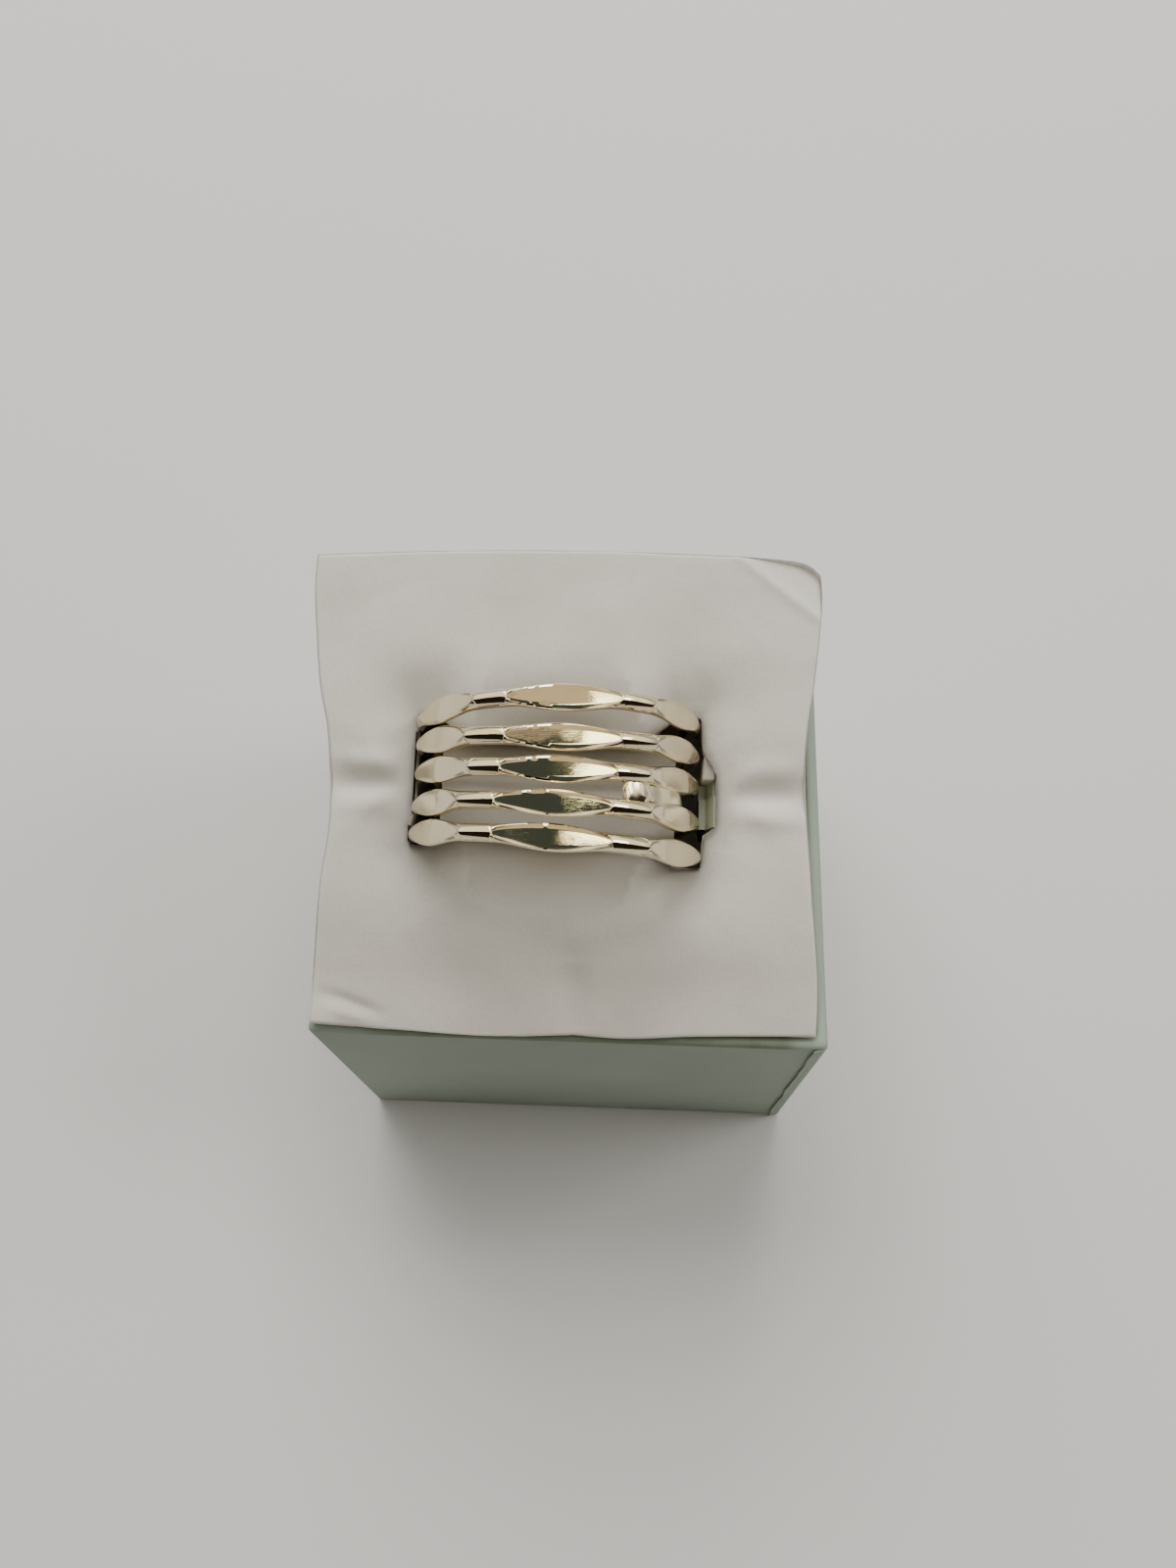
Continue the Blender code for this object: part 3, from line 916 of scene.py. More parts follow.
@dataclass
class SlottedInsert:
    """The soft insert: a sloping foam block in a thin flocked cover, with the slot the ring opens.

    Its outline and slot are given in millimetres on the slope: an edge as pairs of a place along it
    and its distance, and a slot as its corners, anticlockwise. The core is the foam that shows
    inside the ring, and the end fold is the bit of foam at the slot's right end.
    """

    slope: Matrix
    tray: tuple[Vector, Vector]
    card: float = CARD_THICKNESS
    gap: float = 0.3 * MM
    sink_reach: float = 0.22 * MM
    left_edge: Knots = (
        (-18.4, -18.75), (-15.0, -18.85), (-8.0, -18.78), (-3.4, -18.35), (0.3, -18.55),
        (4.0, -18.95), (7.0, -19.65), (11.0, -20.15), (14.7, -20.5), (18.4, -20.4),
    )  # fmt: skip
    right_edge: Knots = (
        (-18.4, 18.1), (-13.9, 18.25), (-6.7, 17.7), (0.5, 17.2), (4.3, 17.3), (8.0, 17.8),
        (14.1, 18.35), (16.6, 18.25), (17.4, 17.9), (18.4, 17.2),
    )  # fmt: skip
    front_edge: Knots = (
        (-21.0, -18.1), (-16.8, -18.3), (-12.8, -18.55), (-5.6, -18.8), (0.3, -18.5), (4.5, -18.6),
        (9.0, -18.3), (14.4, -18.1), (18.4, -18.0),
    )  # fmt: skip
    back_edge: Knots = (
        (-21.0, 17.3), (-12.0, 17.8), (-1.1, 18.1), (9.0, 18.0), (15.5, 17.75), (17.4, 17.35),
        (18.4, 16.4),
    )  # fmt: skip
    lips: Knots = (
        (-12.40, -4.85), (-10.6, -4.95), (-8.2, -4.0), (5.4, -4.3), (7.6, -5.95), (9.55, -6.05),
        (9.70, -3.5), (10.62, -2.85), (10.65, 1.2), (9.6, 2.9), (9.42, 5.45), (7.6, 5.5),
        (5.4, 3.7), (-8.2, 3.5), (-10.6, 5.0), (-12.12, 5.05), (-12.16, 4.2), (-12.16, -2.6),
        (-12.40, -3.3),
    )  # fmt: skip
    wide_slot: Knots = (
        (-12.4, -5.5), (10.25, -6.5), (10.75, -2.8), (10.75, 2.8), (10.25, 6.1), (-12.4, 5.6),
        (-12.9, 4.2), (-12.9, -4.2),
    )  # fmt: skip
    end_cut: Knots = ((9.9, -3.0), (10.65, -3.0), (10.65, 1.0), (9.9, 1.0))
    slot_depth: float = 12.45 * MM
    base_thickness: float = 1.55 * MM
    base_half: float = 17.7 * MM
    base_cells: int = 60
    base_gap: float = 0.02 * MM
    base_snap: float = 1.2 * MM
    edge_round: float = 0.28 * MM
    # Where shade is painted: near the slot's edges, less at its ends, and a little towards the
    # front.
    shade_across: float = 1.3 * MM
    shade_up: float = 3.8 * MM
    shade_front: float = 0.28
    shade_ends: float = 0.35
    shade_middle: float = 6.5 * MM
    shade_front_from: float = 4.0 * MM
    shade_front_full: float = 16.0 * MM
    core_top: float = -2.55 * MM
    core_middle: tuple = (RING_SHIFT, -RING_SINK)
    core_radius: float = 9.15 * MM
    core_half: float = 9.0 * MM
    core_front: float = -3.93 * MM
    core_back: float = 3.42 * MM
    core_ripple: float = 0.10 * MM
    core_ripple_size: float = 2.3 * MM
    seam_depth: float = 0.3 * MM
    seam_reach: float = 0.45 * MM
    seam_place: float = -0.25 * MM
    seam_wander: float = 0.1 * MM
    seam_wave: float = 1.7 * MM
    core_edge_drop: float = 0.25 * MM
    core_edge_reach: float = 0.3 * MM
    core_sag: float = 0.6 * MM
    # How dark the painted shade is on the foam inside the ring.
    core_shade: float = 0.60
    end_fold: Knots = ((9.62, 0.75), (10.58, 0.75), (10.58, 1.35), (9.72, 2.7))
    end_fold_top: float = -1.1 * MM
    end_fold_depth: float = 3.5 * MM
    end_fold_round: float = 0.18 * MM
    crease_depth: float = 0.55 * MM
    crease_reach: float = 2.6 * MM
    lip_drop: float = 0.85 * MM
    lip_reach: float = 3.0 * MM
    lip_round: float = 0.35 * MM
    lip_thick: float = 2.4 * MM
    lip_fade: float = 2.0 * MM
    undercut_reach: float = 8.0 * MM
    tuck_line: tuple = ((11.9, 17.9), (17.6, 13.6))
    tuck_slope: float = 0.30
    tuck_ridge: float = 0.12 * MM
    tuck_reach: float = 0.5 * MM
    tuck_from: tuple = (10.0 * MM, 14.0 * MM)
    front_lift: float = 0.30 * MM
    front_lift_from: tuple = (14.0 * MM, 18.3 * MM)
    corner_lift: float = 0.35 * MM
    corner_front: tuple = (16.0 * MM, 18.0 * MM)
    corner_left: tuple = (15.0 * MM, 18.0 * MM)
    calm_reach: float = 2.0 * MM
    wave_height: float = 0.14 * MM
    wave_size: float = 6.0 * MM
    dimple_height: float = 0.03 * MM
    dimple_size: float = 1.7 * MM
    wall_steps: int = 9
    wall_power: float = 2.2
    wall_slack: float = 0.5 * MM
    columns: int = 150
    rows: int = 150

    @staticmethod
    def corners(knots: Knots) -> list[Vector]:
        """An outline's corners as points on the slope."""
        return [Vector((x * MM, y * MM, 0.0)) for x, y in knots]

    @staticmethod
    def from_outline(place: Vector, corners: list[Vector]) -> tuple[float, Vector]:
        """Measures a place against an outline.

        Args:
            place: A place on the slope.
            corners: The outline's corners, anticlockwise.

        Returns:
            The distance to the outline, negative inside it, and its nearest point.
        """
        flat = Vector((place.x, place.y, 0.0))
        best, nearest, inside = math.inf, flat, False
        for start, end in zip(corners, corners[1:] + corners[:1]):
            run = end - start
            share = min(max((flat - start).dot(run) / run.length_squared, 0.0), 1.0)
            point = start + run * share
            if (flat - point).length < best:
                best, nearest = (flat - point).length, point
            if (start.y > flat.y) != (end.y > flat.y):
                if flat.x < start.x + (flat.y - start.y) / run.y * run.x:
                    inside = not inside
        return (-best if inside else best), nearest

    @staticmethod
    def crowd(share: float) -> float:
        """Crowds the grid's lines towards the insert's edges."""
        return share - 0.75 * math.sin(2 * math.pi * share) / (2 * math.pi)

    def spread(self, bm: bmesh.types.BMesh) -> dict:
        """Spreads a square grid over the insert's outline.

        Args:
            bm: The grid, from -1 to 1.

        Returns:
            Each vertex's distance to the insert's edge.
        """
        edges = {}
        for vert in bm.verts:
            across, up = (self.crowd((part + 1.0) / 2) for part in vert.co.xy)
            x, y = -18.0 + 36.0 * across, -18.0 + 36.0 * up
            for _ in range(3):
                front, back = smooth_line(self.front_edge, x), smooth_line(self.back_edge, x)
                y = front + up * (back - front)
                left, right = smooth_line(self.left_edge, y), smooth_line(self.right_edge, y)
                x = left + across * (right - left)
            vert.co = Vector((x, y, 0.0)) * MM
            edges[vert] = min(x - left, right - x, y - front, back - y) * MM
        return edges

    def height(self, place: Vector, edge: float, outside: float) -> float:
        """How high the insert's face lies at a place.

        Args:
            place: The place on the slope.
            edge: Its distance to the insert's outer edge.
            outside: Its distance to the slot's edge.

        Returns:
            The height over the slope's plane.
        """
        crease = self.crease_depth * bell(place.y, self.crease_reach)
        lips = self.lip_drop * bell(outside, self.lip_reach)
        height = -max(crease, lips)
        calm = ease(outside, 0.0, self.calm_reach)
        height += calm * sum(fold.lift(place) for fold in FOLDS)
        start, end = (Vector(point) * MM for point in self.tuck_line)
        run = (end - start).normalized()
        beyond = (place.x - start.x) * -run.y + (place.y - start.y) * run.x
        height -= self.tuck_slope * max(beyond, 0.0)
        ridge = self.tuck_ridge * bell(beyond, self.tuck_reach)
        height += ridge * ease(place.x, *self.tuck_from)
        for inset, rounding in ((edge, self.edge_round), (outside, self.lip_round)):
            if inset < rounding:
                over = rounding - max(inset, 0.0)
                height -= rounding - math.sqrt(max(rounding**2 - over**2, 0.0))
        height += self.front_lift * ease(-place.y, *self.front_lift_from)
        corner = ease(-place.y, *self.corner_front) * ease(-place.x, *self.corner_left)
        height += self.corner_lift * corner
        height += self.wave_height * calm * ripple(place, self.wave_size, 2.0)
        return height + self.dimple_height * calm * ripple(place, self.dimple_size, 8.0)

    def build(self) -> bmesh.types.BMesh:
        """Shapes a grid into the face, opens the slot in it, and gives it its thickness.

        Returns:
            The insert's mesh in the model's frame.
        """
        bm = bmesh.new()
        bmesh.ops.create_grid(bm, x_segments=self.columns, y_segments=self.rows, size=1.0)
        shade_layer = bm.verts.layers.float.new(PAINTED_SHADE)
        edges = self.spread(bm)
        slot, wide = self.corners(self.lips), self.corners(self.wide_slot)
        hole = [
            face
            for face in bm.faces
            if self.from_outline(face.calc_center_median(), slot)[0] < 0.0
        ]
        bmesh.ops.delete(bm, geom=hole, context="FACES")
        for vert in bm.verts:
            outside, nearest = self.from_outline(vert.co, slot)
            if vert.is_boundary and edges[vert] > self.edge_round:
                vert.co = nearest
                outside = 0.0
            away = vert.co - nearest if outside > 0.0 else Vector()
            # Painted shade: darker near the slot, where the ring shades the pad, and a little
            # towards the front.
            near = bell(away.x, self.shade_across) * bell(away.y, self.shade_up)
            middle = bell(vert.co.x - self.core_middle[0], self.shade_middle)
            near *= self.shade_ends + (1.0 - self.shade_ends) * middle
            front = ease(-vert.co.y, self.shade_front_from, self.shade_front_full)
            vert[shade_layer] = max(near, self.shade_front * front)
            vert.co.z = self.height(vert.co, edges[vert], max(outside, 0.0))
        extruded = bmesh.ops.extrude_face_region(bm, geom=list(bm.faces))
        under = {item for item in extruded["geom"] if isinstance(item, bmesh.types.BMVert)}
        walls = [
            edge for edge in bm.edges if (edge.verts[0] in under) != (edge.verts[1] in under)
        ]
        for vert in under:
            vert.co += self.push(vert.co, slot, wide)
            vert.co.z = -self.slot_depth
        cut = bmesh.ops.subdivide_edges(bm, edges=walls, cuts=self.wall_steps, use_grid_fill=True)
        inner = [item for item in cut["geom_inner"] if isinstance(item, bmesh.types.BMVert)]
        self.shape_walls(inner, slot, wide)
        bmesh.ops.recalc_face_normals(bm, faces=bm.faces)
        bmesh.ops.transform(bm, matrix=self.slope, verts=bm.verts)
        self.fit_tray(bm)
        return bm

    def push(self, place: Vector, slot: list[Vector], wide: list[Vector]) -> Vector:
        """How far a place below the lips is pushed back, so that the slot is wider there."""
        outside, nearest = self.from_outline(place, slot)
        inside, wall = self.from_outline(nearest, wide)
        if inside >= 0.0:
            return Vector()
        return (wall - nearest) * max(1.0 - max(outside, 0.0) / self.undercut_reach, 0.0) ** 2

    def shape_walls(self, inner: list, slot: list[Vector], wide: list[Vector]) -> None:
        """Crowds the walls' rows to the top, and widens the slot below its lips.

        Args:
            inner: The walls' vertices between top and bottom.
            slot: The corners of the slot's lips.
            wide: The corners of the wider slot below them.
        """
        for vert in inner:
            share = min(-vert.co.z / self.slot_depth, 1.0)
            vert.co.z *= share ** (self.wall_power - 1.0)
            outside, nearest = self.from_outline(vert.co, slot)
            inside, _ = self.from_outline(vert.co, wide)
            if inside > self.wall_slack or abs(outside) > self.lip_reach:
                continue
            deep = ease(-vert.co.z, self.lip_thick, self.lip_thick + self.lip_fade)
            lip = Vector((nearest.x, nearest.y, vert.co.z))
            room, full = self.from_outline(lip, wide)
            if room < 0.0:
                vert.co = lip + (Vector((full.x, full.y, vert.co.z)) - lip) * deep

    def fit_tray(self, bm: bmesh.types.BMesh) -> None:
        """Presses what lies below the rim into the tray, clear of its walls."""
        _, high = self.tray
        inner_x = high.x - self.card - self.gap
        inner_y = high.y - self.card - self.gap
        for vert in bm.verts:
            sunk = ease(high.z + self.gap - vert.co.z, 0.0, self.sink_reach)
            x = min(max(vert.co.x, -inner_x), inner_x)
            y = min(max(vert.co.y, -inner_y), inner_y)
            vert.co.x += (x - vert.co.x) * sunk
            vert.co.y += (y - vert.co.y) * sunk

    def base(self) -> bmesh.types.BMesh:
        """The foam that closes the slot under the ring, but for the narrow cut at its right end.

        Returns:
            The mesh in the model's frame.
        """
        bm = bmesh.new()
        cells = self.base_cells
        bmesh.ops.create_grid(bm, x_segments=cells, y_segments=cells, size=self.base_half)
        cut = self.corners(self.end_cut)
        hole = [
            face
            for face in bm.faces
            if self.from_outline(face.calc_center_median(), cut)[0] < 0.0
        ]
        bmesh.ops.delete(bm, geom=hole, context="FACES")
        for vert in bm.verts:
            near, nearest = self.from_outline(vert.co, cut)
            if vert.is_boundary and abs(near) < self.base_snap:
                vert.co = nearest
            vert.co.z = -self.slot_depth - self.base_gap
        extruded = bmesh.ops.extrude_face_region(bm, geom=list(bm.faces))
        for item in extruded["geom"]:
            if isinstance(item, bmesh.types.BMVert):
                item.co.z -= self.base_thickness
        bmesh.ops.recalc_face_normals(bm, faces=bm.faces)
        bmesh.ops.transform(bm, matrix=self.slope, verts=bm.verts)
        self.fit_tray(bm)
        return bm

    def core(self) -> bmesh.types.BMesh:
        """The foam inside the ring, whose two halves meet in a seam along the slot.

        Returns:
            The mesh in the model's frame.
        """
        bm = bmesh.new()
        bmesh.ops.create_grid(bm, x_segments=70, y_segments=30, size=1.0)
        shade_layer = bm.verts.layers.float.new(PAINTED_SHADE)
        middle_x, middle_z = self.core_middle
        width = self.core_back - self.core_front
        for vert in bm.verts:
            across, up = vert.co.x, (vert.co.y + 1.0) / 2
            place = Vector((middle_x + across * self.core_half, self.core_front + up * width, 0.0))
            seam = self.seam_place + self.seam_wander * math.sin(place.x / self.seam_wave)
            edge = min(up, 1.0 - up) * width
            height = self.core_top + self.core_ripple * ripple(place, self.core_ripple_size, 6.0)
            height -= self.seam_depth * bell(place.y - seam, self.seam_reach)
            height -= self.core_edge_drop * bell(edge, self.core_edge_reach)
            vert.co = Vector((place.x, place.y, height))
            # Painted shade: the foam inside the ring is darkened as if it lay in the ring's shade.
            vert[shade_layer] = self.core_shade
        extruded = bmesh.ops.extrude_face_region(bm, geom=list(bm.faces))
        for item in extruded["geom"]:
            if isinstance(item, bmesh.types.BMVert):
                reach = item.co.x - middle_x
                item.co.z = middle_z - math.sqrt(self.core_radius**2 - reach**2) - self.core_sag
                item.co.z = max(item.co.z, middle_z - self.core_radius)
        bmesh.ops.recalc_face_normals(bm, faces=bm.faces)
        bmesh.ops.transform(bm, matrix=self.slope, verts=bm.verts)
        return bm

    def fold_at_end(self) -> bmesh.types.BMesh:
        """The small fold of foam that shows at the slot's right end, behind the slot line.

        Returns:
            The mesh in the model's frame.
        """
        bm = bmesh.new()
        outline = self.corners(self.end_fold)
        corners = [bm.verts.new((*place.xy, self.end_fold_top)) for place in outline]
        extruded = bmesh.ops.extrude_face_region(bm, geom=[bm.faces.new(corners)])
        for item in extruded["geom"]:
            if isinstance(item, bmesh.types.BMVert):
                item.co.z -= self.end_fold_depth
        bmesh.ops.recalc_face_normals(bm, faces=bm.faces)
        bmesh.ops.bevel(
            bm,
            geom=list(bm.edges),
            offset=self.end_fold_round,
            segments=3,
            profile=0.5,
            affect="EDGES",
            material=-1,
        )
        bmesh.ops.transform(bm, matrix=self.slope, verts=bm.verts)
        return bm

    def dress(self, finish: FlockFinish) -> list[bpy.types.Object]:
        """Makes the insert's pieces, the first of which replaces the plain solid.

        Args:
            finish: The flock's finish.

        Returns:
            The pieces.
        """
        material = finish.material()
        pieces = []
        for name, bm in (
            ("flocked_insert", self.build()),
            ("insert_base", self.base()),
            ("insert_core", self.core()),
            ("insert_end_fold", self.fold_at_end()),
        ):
            for face in bm.faces:
                face.smooth = True
            pad = attach(new_piece(name, bm, material))
            pad.data.set_sharp_from_angle(angle=math.radians(60.0))
            pieces.append(pad)
        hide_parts("insert_pad")
        return pieces


@dataclass
class SlotLining:
    """The strip of green card that shows at the slot's right end, in front of the slot line."""

    slope: Matrix
    wall_x: float = 10.60 * MM
    front: float = -2.80 * MM
    back: float = -0.45 * MM
    top: float = -0.9 * MM
    lean: tuple = (-0.42 * MM, -2.4 * MM)
    turn: float = 0.32 * MM
    toe: float = 0.35 * MM
    sheet: float = 0.12 * MM
    bend_steps: int = 6
    name: str = "slot_lining"

    @classmethod
    def strips(cls, slope: Matrix) -> list["SlotLining"]:
        """Gives the strip that shows, and the deeper one behind it."""
        low = cls(slope, front=-0.42 * MM, back=0.70 * MM, top=-1.9 * MM, name="slot_lining_low")
        return [cls(slope), low]

    def dress(self, finish: CardFinish) -> bpy.types.Object:
        """Folds a narrow sheet into an L, down the slot's end wall and out towards the ring.

        Args:
            finish: The card's finish.

        Returns:
            The piece.
        """
        bm = bmesh.new()
        start = bm.verts.new((self.wall_x, self.front, self.top))
        path = [Vector((self.lean[0], 0.0, self.lean[1]))]
        for step in range(1, self.bend_steps + 1):
            angles = [math.pi / 2 * part / self.bend_steps for part in (step - 1, step)]
            ends = [Vector((math.cos(part), 0.0, -math.sin(part))) * self.turn for part in angles]
            path.append(ends[1] - ends[0])
        path.append(Vector((-self.toe, 0.0, 0.0)))
        tip = [start]
        for move in path:
            made = bmesh.ops.extrude_vert_indiv(bm, verts=tip)
            tip = made["verts"]
            bmesh.ops.translate(bm, vec=move, verts=tip)
        side = bmesh.ops.extrude_edge_only(bm, edges=list(bm.edges))
        moved = [item for item in side["geom"] if isinstance(item, bmesh.types.BMVert)]
        bmesh.ops.translate(bm, vec=(0.0, self.back - self.front, 0.0), verts=moved)
        bmesh.ops.recalc_face_normals(bm, faces=bm.faces)
        bmesh.ops.solidify(bm, geom=list(bm.faces), thickness=self.sheet)
        bmesh.ops.recalc_face_normals(bm, faces=bm.faces)
        bmesh.ops.transform(bm, matrix=self.slope, verts=bm.verts)
        return attach(new_piece(self.name, bm, finish.material()))


@dataclass
class CardTray:
    """The card box: walls and floor of thick card, wrapped in thin paper."""

    box: tuple[Vector, Vector]
    card: float = CARD_THICKNESS
    corner: float = 0.35 * MM
    lap_front: float = 0.62 * MM
    lap_side: float = 5.0 * MM
    lap_lift: float = 0.20 * MM
    lap_sheet: float = 0.07 * MM
    lap_wave: float = 0.22 * MM
    lap_wave_size: float = 3.4 * MM
    lap_off: float = 0.02 * MM
    lap_sink: float = 0.16 * MM
    lap_columns: int = 26
    lap_rows: int = 70

    def walls(self) -> bmesh.types.BMesh:
        """Shapes a cube into the open tray by inset and extrusion.

        Returns:
            The tray's mesh.
        """
        low, high = self.box
        bm = bmesh.new()
        bmesh.ops.create_cube(bm, size=1.0)
        bmesh.ops.scale(bm, vec=high - low, verts=bm.verts)
        bmesh.ops.translate(bm, vec=(low + high) / 2, verts=bm.verts)
        top = [face for face in bm.faces if face.normal.z > 0.5]
        bmesh.ops.inset_region(bm, faces=top, thickness=self.card, use_even_offset=True)
        sunk = bmesh.ops.extrude_face_region(bm, geom=top)
        depth = high.z - low.z - self.card
        moved = [item for item in sunk["geom"] if isinstance(item, bmesh.types.BMVert)]
        bmesh.ops.translate(bm, vec=(0.0, 0.0, -depth), verts=moved)
        bmesh.ops.delete(bm, geom=top, context="FACES_ONLY")
        bmesh.ops.bevel(
            bm,
            geom=list(bm.edges),
            offset=self.corner,
            offset_type="OFFSET",
            segments=3,
            profile=0.5,
            affect="EDGES",
            clamp_overlap=True,
            material=-1,
        )
        bmesh.ops.recalc_face_normals(bm, faces=bm.faces)
        return bm

    def lap(self) -> bmesh.types.BMesh:
        """The lap of the paper, which comes round the front right corner and ends in a wavy edge.

        Returns:
            The lap's mesh: a thin sheet, a little off the card at its end and flush at its start.
        """
        low, high = self.box
        bm = bmesh.new()
        bmesh.ops.create_grid(bm, x_segments=self.lap_columns, y_segments=self.lap_rows, size=1.0)
        arc = self.corner * math.pi / 2
        length = self.lap_front + arc + self.lap_side
        for vert in bm.verts:
            share, up = (vert.co.x + 1.0) / 2, (vert.co.y + 1.0) / 2
            z = low.z + self.corner + up * (high.z - low.z - 2 * self.corner)
            wave = self.lap_wave * ripple(Vector((0.0, 0.0, z)), self.lap_wave_size, 4.0)
            run = length * share**1.5 - self.lap_front - wave * (1.0 - share) ** 4
            off = self.lap_off + self.lap_lift * (1.0 - share) ** 6
            off -= self.lap_sink * ease(share, 0.55, 1.0)
            turn = min(max(run / self.corner, 0.0), math.pi / 2)
            x = high.x - self.corner + (self.corner + off) * math.sin(turn) + min(run, 0.0)
            y = low.y + self.corner - (self.corner + off) * math.cos(turn) + max(run - arc, 0.0)
            vert.co = Vector((x, y, z))
        bmesh.ops.recalc_face_normals(bm, faces=bm.faces)
        bmesh.ops.solidify(bm, geom=list(bm.faces), thickness=self.lap_sheet)
        bmesh.ops.recalc_face_normals(bm, faces=bm.faces)
        return bm

    def dress(self, finish: CardFinish) -> list[bpy.types.Object]:
        """Makes the tray's pieces, the first of which replaces the plain solid."""
        material = finish.material()
        pieces = []
        for name, bm in (("card_tray", self.walls()), ("paper_lap", self.lap())):
            for face in bm.faces:
                face.smooth = True
            piece = attach(new_piece(name, bm, material))
            piece.data.set_sharp_from_angle(angle=math.radians(40.0))
            pieces.append(piece)
        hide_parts("box_tray")
        return pieces


@dataclass(frozen=True)
class Surround:
    """The soft room that lights the box and shows in the polished silver.

    It is pale all round and dusky low in front. The silver also sees it brighter above, warm
    overhead, and with dark screens and a glaring diffuser in the warm part. Each zone's limits
    are shares of the way from level to overhead, to the right or to the front.
    """

    pale: tuple = (1.10, 1.10, 1.10)
    warm: tuple = (1.98, 1.62, 1.14)
    dusk: tuple = (0.045, 0.030, 0.022)
    screen: tuple = (0.155, 0.185, 0.165)
    glare: tuple = (15.0, 14.4, 9.6)
    bright: tuple = (3.70, 3.42, 2.85)
    backdrop: tuple = (0.80, 0.80, 0.79)
    strength: float = 0.42
    bright_from: tuple = (0.08, 0.30)
    warm_from: tuple = (0.86, 0.915)
    low_front_from: tuple = (0.0, 0.06)
    low_front_until: tuple = (0.70, 0.80)
    near_from: tuple = (0.199, 0.206)
    near_until: tuple = (0.42, 0.50)
    glare_from: tuple = (0.449, 0.459)
    glare_until: tuple = (0.45, 0.60)
    screen_from: tuple = (0.110, 0.120)
    screen_until: tuple = (0.435, 0.449)
    screens_left: tuple = (-0.62, -0.55)
    slant: float = 2.0
    wave_scale: float = 11.0
    wave_height: float = 0.04

    def build(self) -> None:
        """Makes the world and gives it to the scene."""
        world = bpy.data.worlds.new("soft studio")
        world.use_nodes = True
        graph = Graph(world.node_tree)
        way = graph.node("ShaderNodeTexCoord", {}, {}, "Generated")
        x, y, z = graph.axes(way)
        values = {"Vector": way, "Scale": self.wave_scale, "Detail": 3.0}
        wave = graph.node("ShaderNodeTexNoise", {}, values, "Fac") - 0.5
        front = self.wave_height * wave - y
        slant = x + self.slant * front
        overhead = z.above(*self.warm_from)
        low_front = front.above(*self.low_front_from) * (1.0 - z.above(*self.low_front_until))
        near = front.above(*self.near_from)
        lit = slant.above(*self.glare_from) * (1.0 - near) * (1.0 - x.above(*self.glare_until))
        dark = front.above(*self.screen_from) * (1.0 - slant.above(*self.screen_until))
        dark = dark * (1.0 - near) + near * (1.0 - x.above(*self.near_until))
        dark = dark * x.above(*self.screens_left)
        plain = graph.blend(low_front, self.pale, self.dusk)
        colour = graph.blend(z.above(*self.bright_from), self.pale, self.bright)
        colour = graph.blend(low_front, colour, self.dusk)
        colour = graph.blend(overhead, colour, self.warm)
        colour = graph.blend(lit * overhead, colour, self.glare)
        colour = graph.blend(dark * overhead, colour, self.screen)
        ray = {
            name: graph.node("ShaderNodeLightPath", {}, {}, f"Is {name} Ray")
            for name in ("Diffuse", "Camera")
        }
        colour = graph.blend(ray["Diffuse"], colour, plain)
        colour = graph.blend(ray["Camera"], colour, self.backdrop)
        background = graph.tree.nodes["Background"]
        graph.tree.links.new(colour.socket, background.inputs["Color"])
        background.inputs["Strength"].default_value = self.strength
        bpy.context.scene.world = world


@dataclass(frozen=True)
class Lamp:
    """One soft square light: where it stands, its side, its power in watts and its colour."""

    name: str
    place: tuple
    side: float
    power: float
    tint: tuple


LAMPS = (
    Lamp("key", place=(-0.08, 0.40, 0.52), side=0.52, power=4.0, tint=(1.0, 0.985, 0.97)),
    Lamp("side", place=(0.45, 0.10, 0.45), side=0.25, power=1.1, tint=(1.0, 0.98, 0.95)),
)


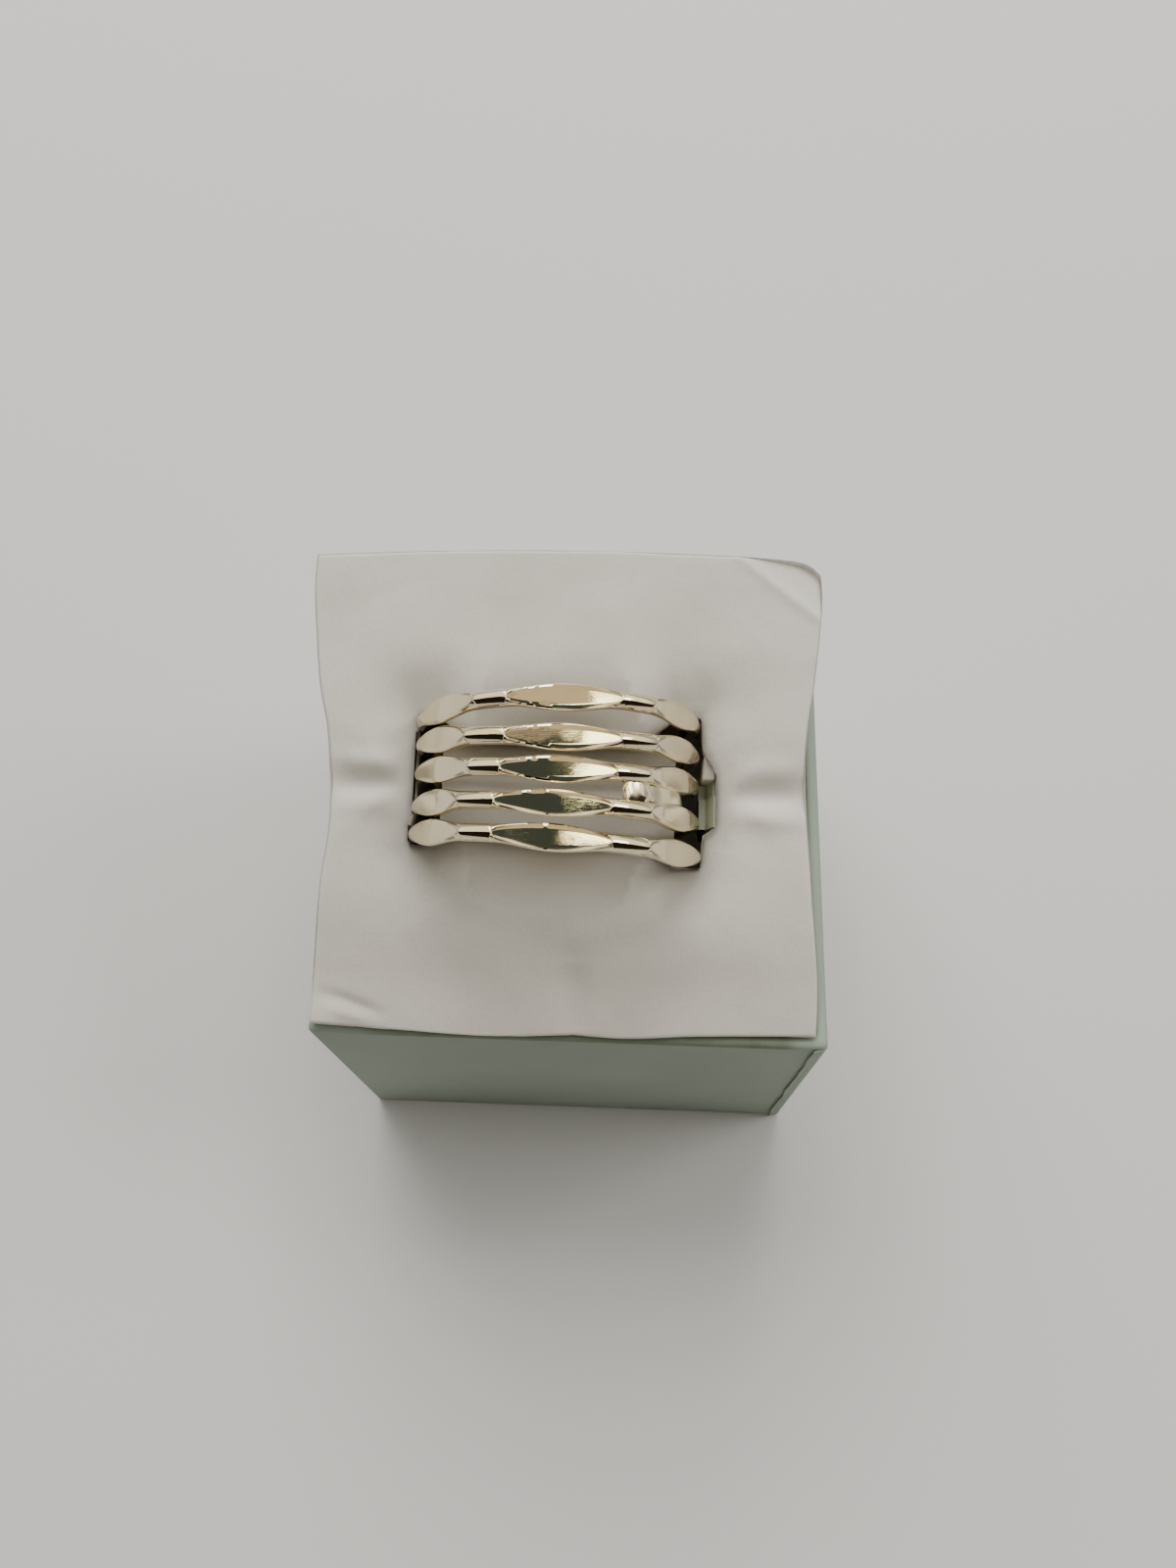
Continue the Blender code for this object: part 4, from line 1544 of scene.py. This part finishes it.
@dataclass
class Studio:
    """The floor, the light and the camera."""

    rim: float
    focal: float = 1250.0
    image_long: float = 1600.0
    sensor: float = 36.0
    eye: tuple = (4.11 * MM, -37.95 * MM, 89.2 * MM)
    elevation: float = math.radians(66.12)
    azimuth: float = math.radians(-4.79)
    roll: float = math.radians(-2.75)
    floor_half: float = 1.5
    near: float = 0.005
    far: float = 20.0

    def camera(self) -> bpy.types.Object:
        """Makes the camera at the photograph's framing.

        Returns:
            The camera, which is also the scene's.
        """
        level = math.cos(self.elevation)
        east, north = math.sin(self.azimuth), math.cos(self.azimuth)
        ahead = Vector((east * level, north * level, -math.sin(self.elevation)))
        right = Vector((math.cos(self.azimuth), -math.sin(self.azimuth), 0.0))
        up = right.cross(ahead)
        turn = Matrix.Rotation(-self.roll, 3, ahead)
        right, up = turn @ right, turn @ up
        data = bpy.data.cameras.new("camera")
        data.sensor_width = self.sensor
        data.sensor_height = self.sensor
        data.lens = self.focal / self.image_long * self.sensor
        data.clip_start = self.near
        data.clip_end = self.far
        camera = bpy.data.objects.new("camera", data)
        axes = Matrix((right, up, -ahead)).transposed().to_4x4()
        camera.matrix_world = Matrix.Translation(Vector(self.eye) + Vector((0, 0, self.rim))) @ axes
        bpy.context.scene.collection.objects.link(camera)
        bpy.context.scene.camera = camera
        return camera

    def floor(self) -> bpy.types.Object:
        """Makes the plain pale floor."""
        bm = bmesh.new()
        bmesh.ops.create_grid(bm, x_segments=1, y_segments=1, size=self.floor_half)
        floor = new_piece("floor", bm, FloorFinish().material())
        return floor

    def light(self, lamp: Lamp) -> None:
        """Adds a square soft light that faces the box."""
        data = bpy.data.lights.new(lamp.name, "AREA")
        data.shape = "SQUARE"
        data.size = lamp.side
        data.energy = lamp.power
        data.color = lamp.tint
        light = bpy.data.objects.new(lamp.name, data)
        light.location = lamp.place
        aim = Vector((0.0, 0.0, self.rim)) - Vector(lamp.place)
        light.rotation_euler = aim.to_track_quat("-Z", "Y").to_euler()
        bpy.context.scene.collection.objects.link(light)

    def build(self) -> None:
        """Sets up the floor, the light and the camera."""
        self.floor()
        Surround().build()
        for lamp in LAMPS:
            self.light(lamp)
        self.camera()


def report(pieces: Iterable[bpy.types.Object]) -> None:
    """Logs each piece with its number of faces."""
    for piece in pieces:
        LOG.info("%s: %d faces", piece.name, len(piece.data.polygons))


def clear_scene() -> None:
    """Removes what the file opened with."""
    for item in list(bpy.data.objects):
        bpy.data.objects.remove(item, do_unlink=True)


def main() -> None:
    """Builds the stage and the object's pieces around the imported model."""
    logging.basicConfig(level=logging.INFO, format="%(name)s: %(message)s")
    clear_scene()
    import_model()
    tray_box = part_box("box_tray")
    rim = tray_box[1].z
    Studio(rim).build()
    slope = Slope().matrix(rim)
    report(CardTray(tray_box).dress(CardFinish()))
    report(SlottedInsert(slope, tray_box).dress(FlockFinish()))
    report(lining.dress(LIGHTENED_CARD) for lining in SlotLining.strips(slope))
    report(BandRing(slope).dress(SilverFinish()))


if __name__ == "__main__":
    main()
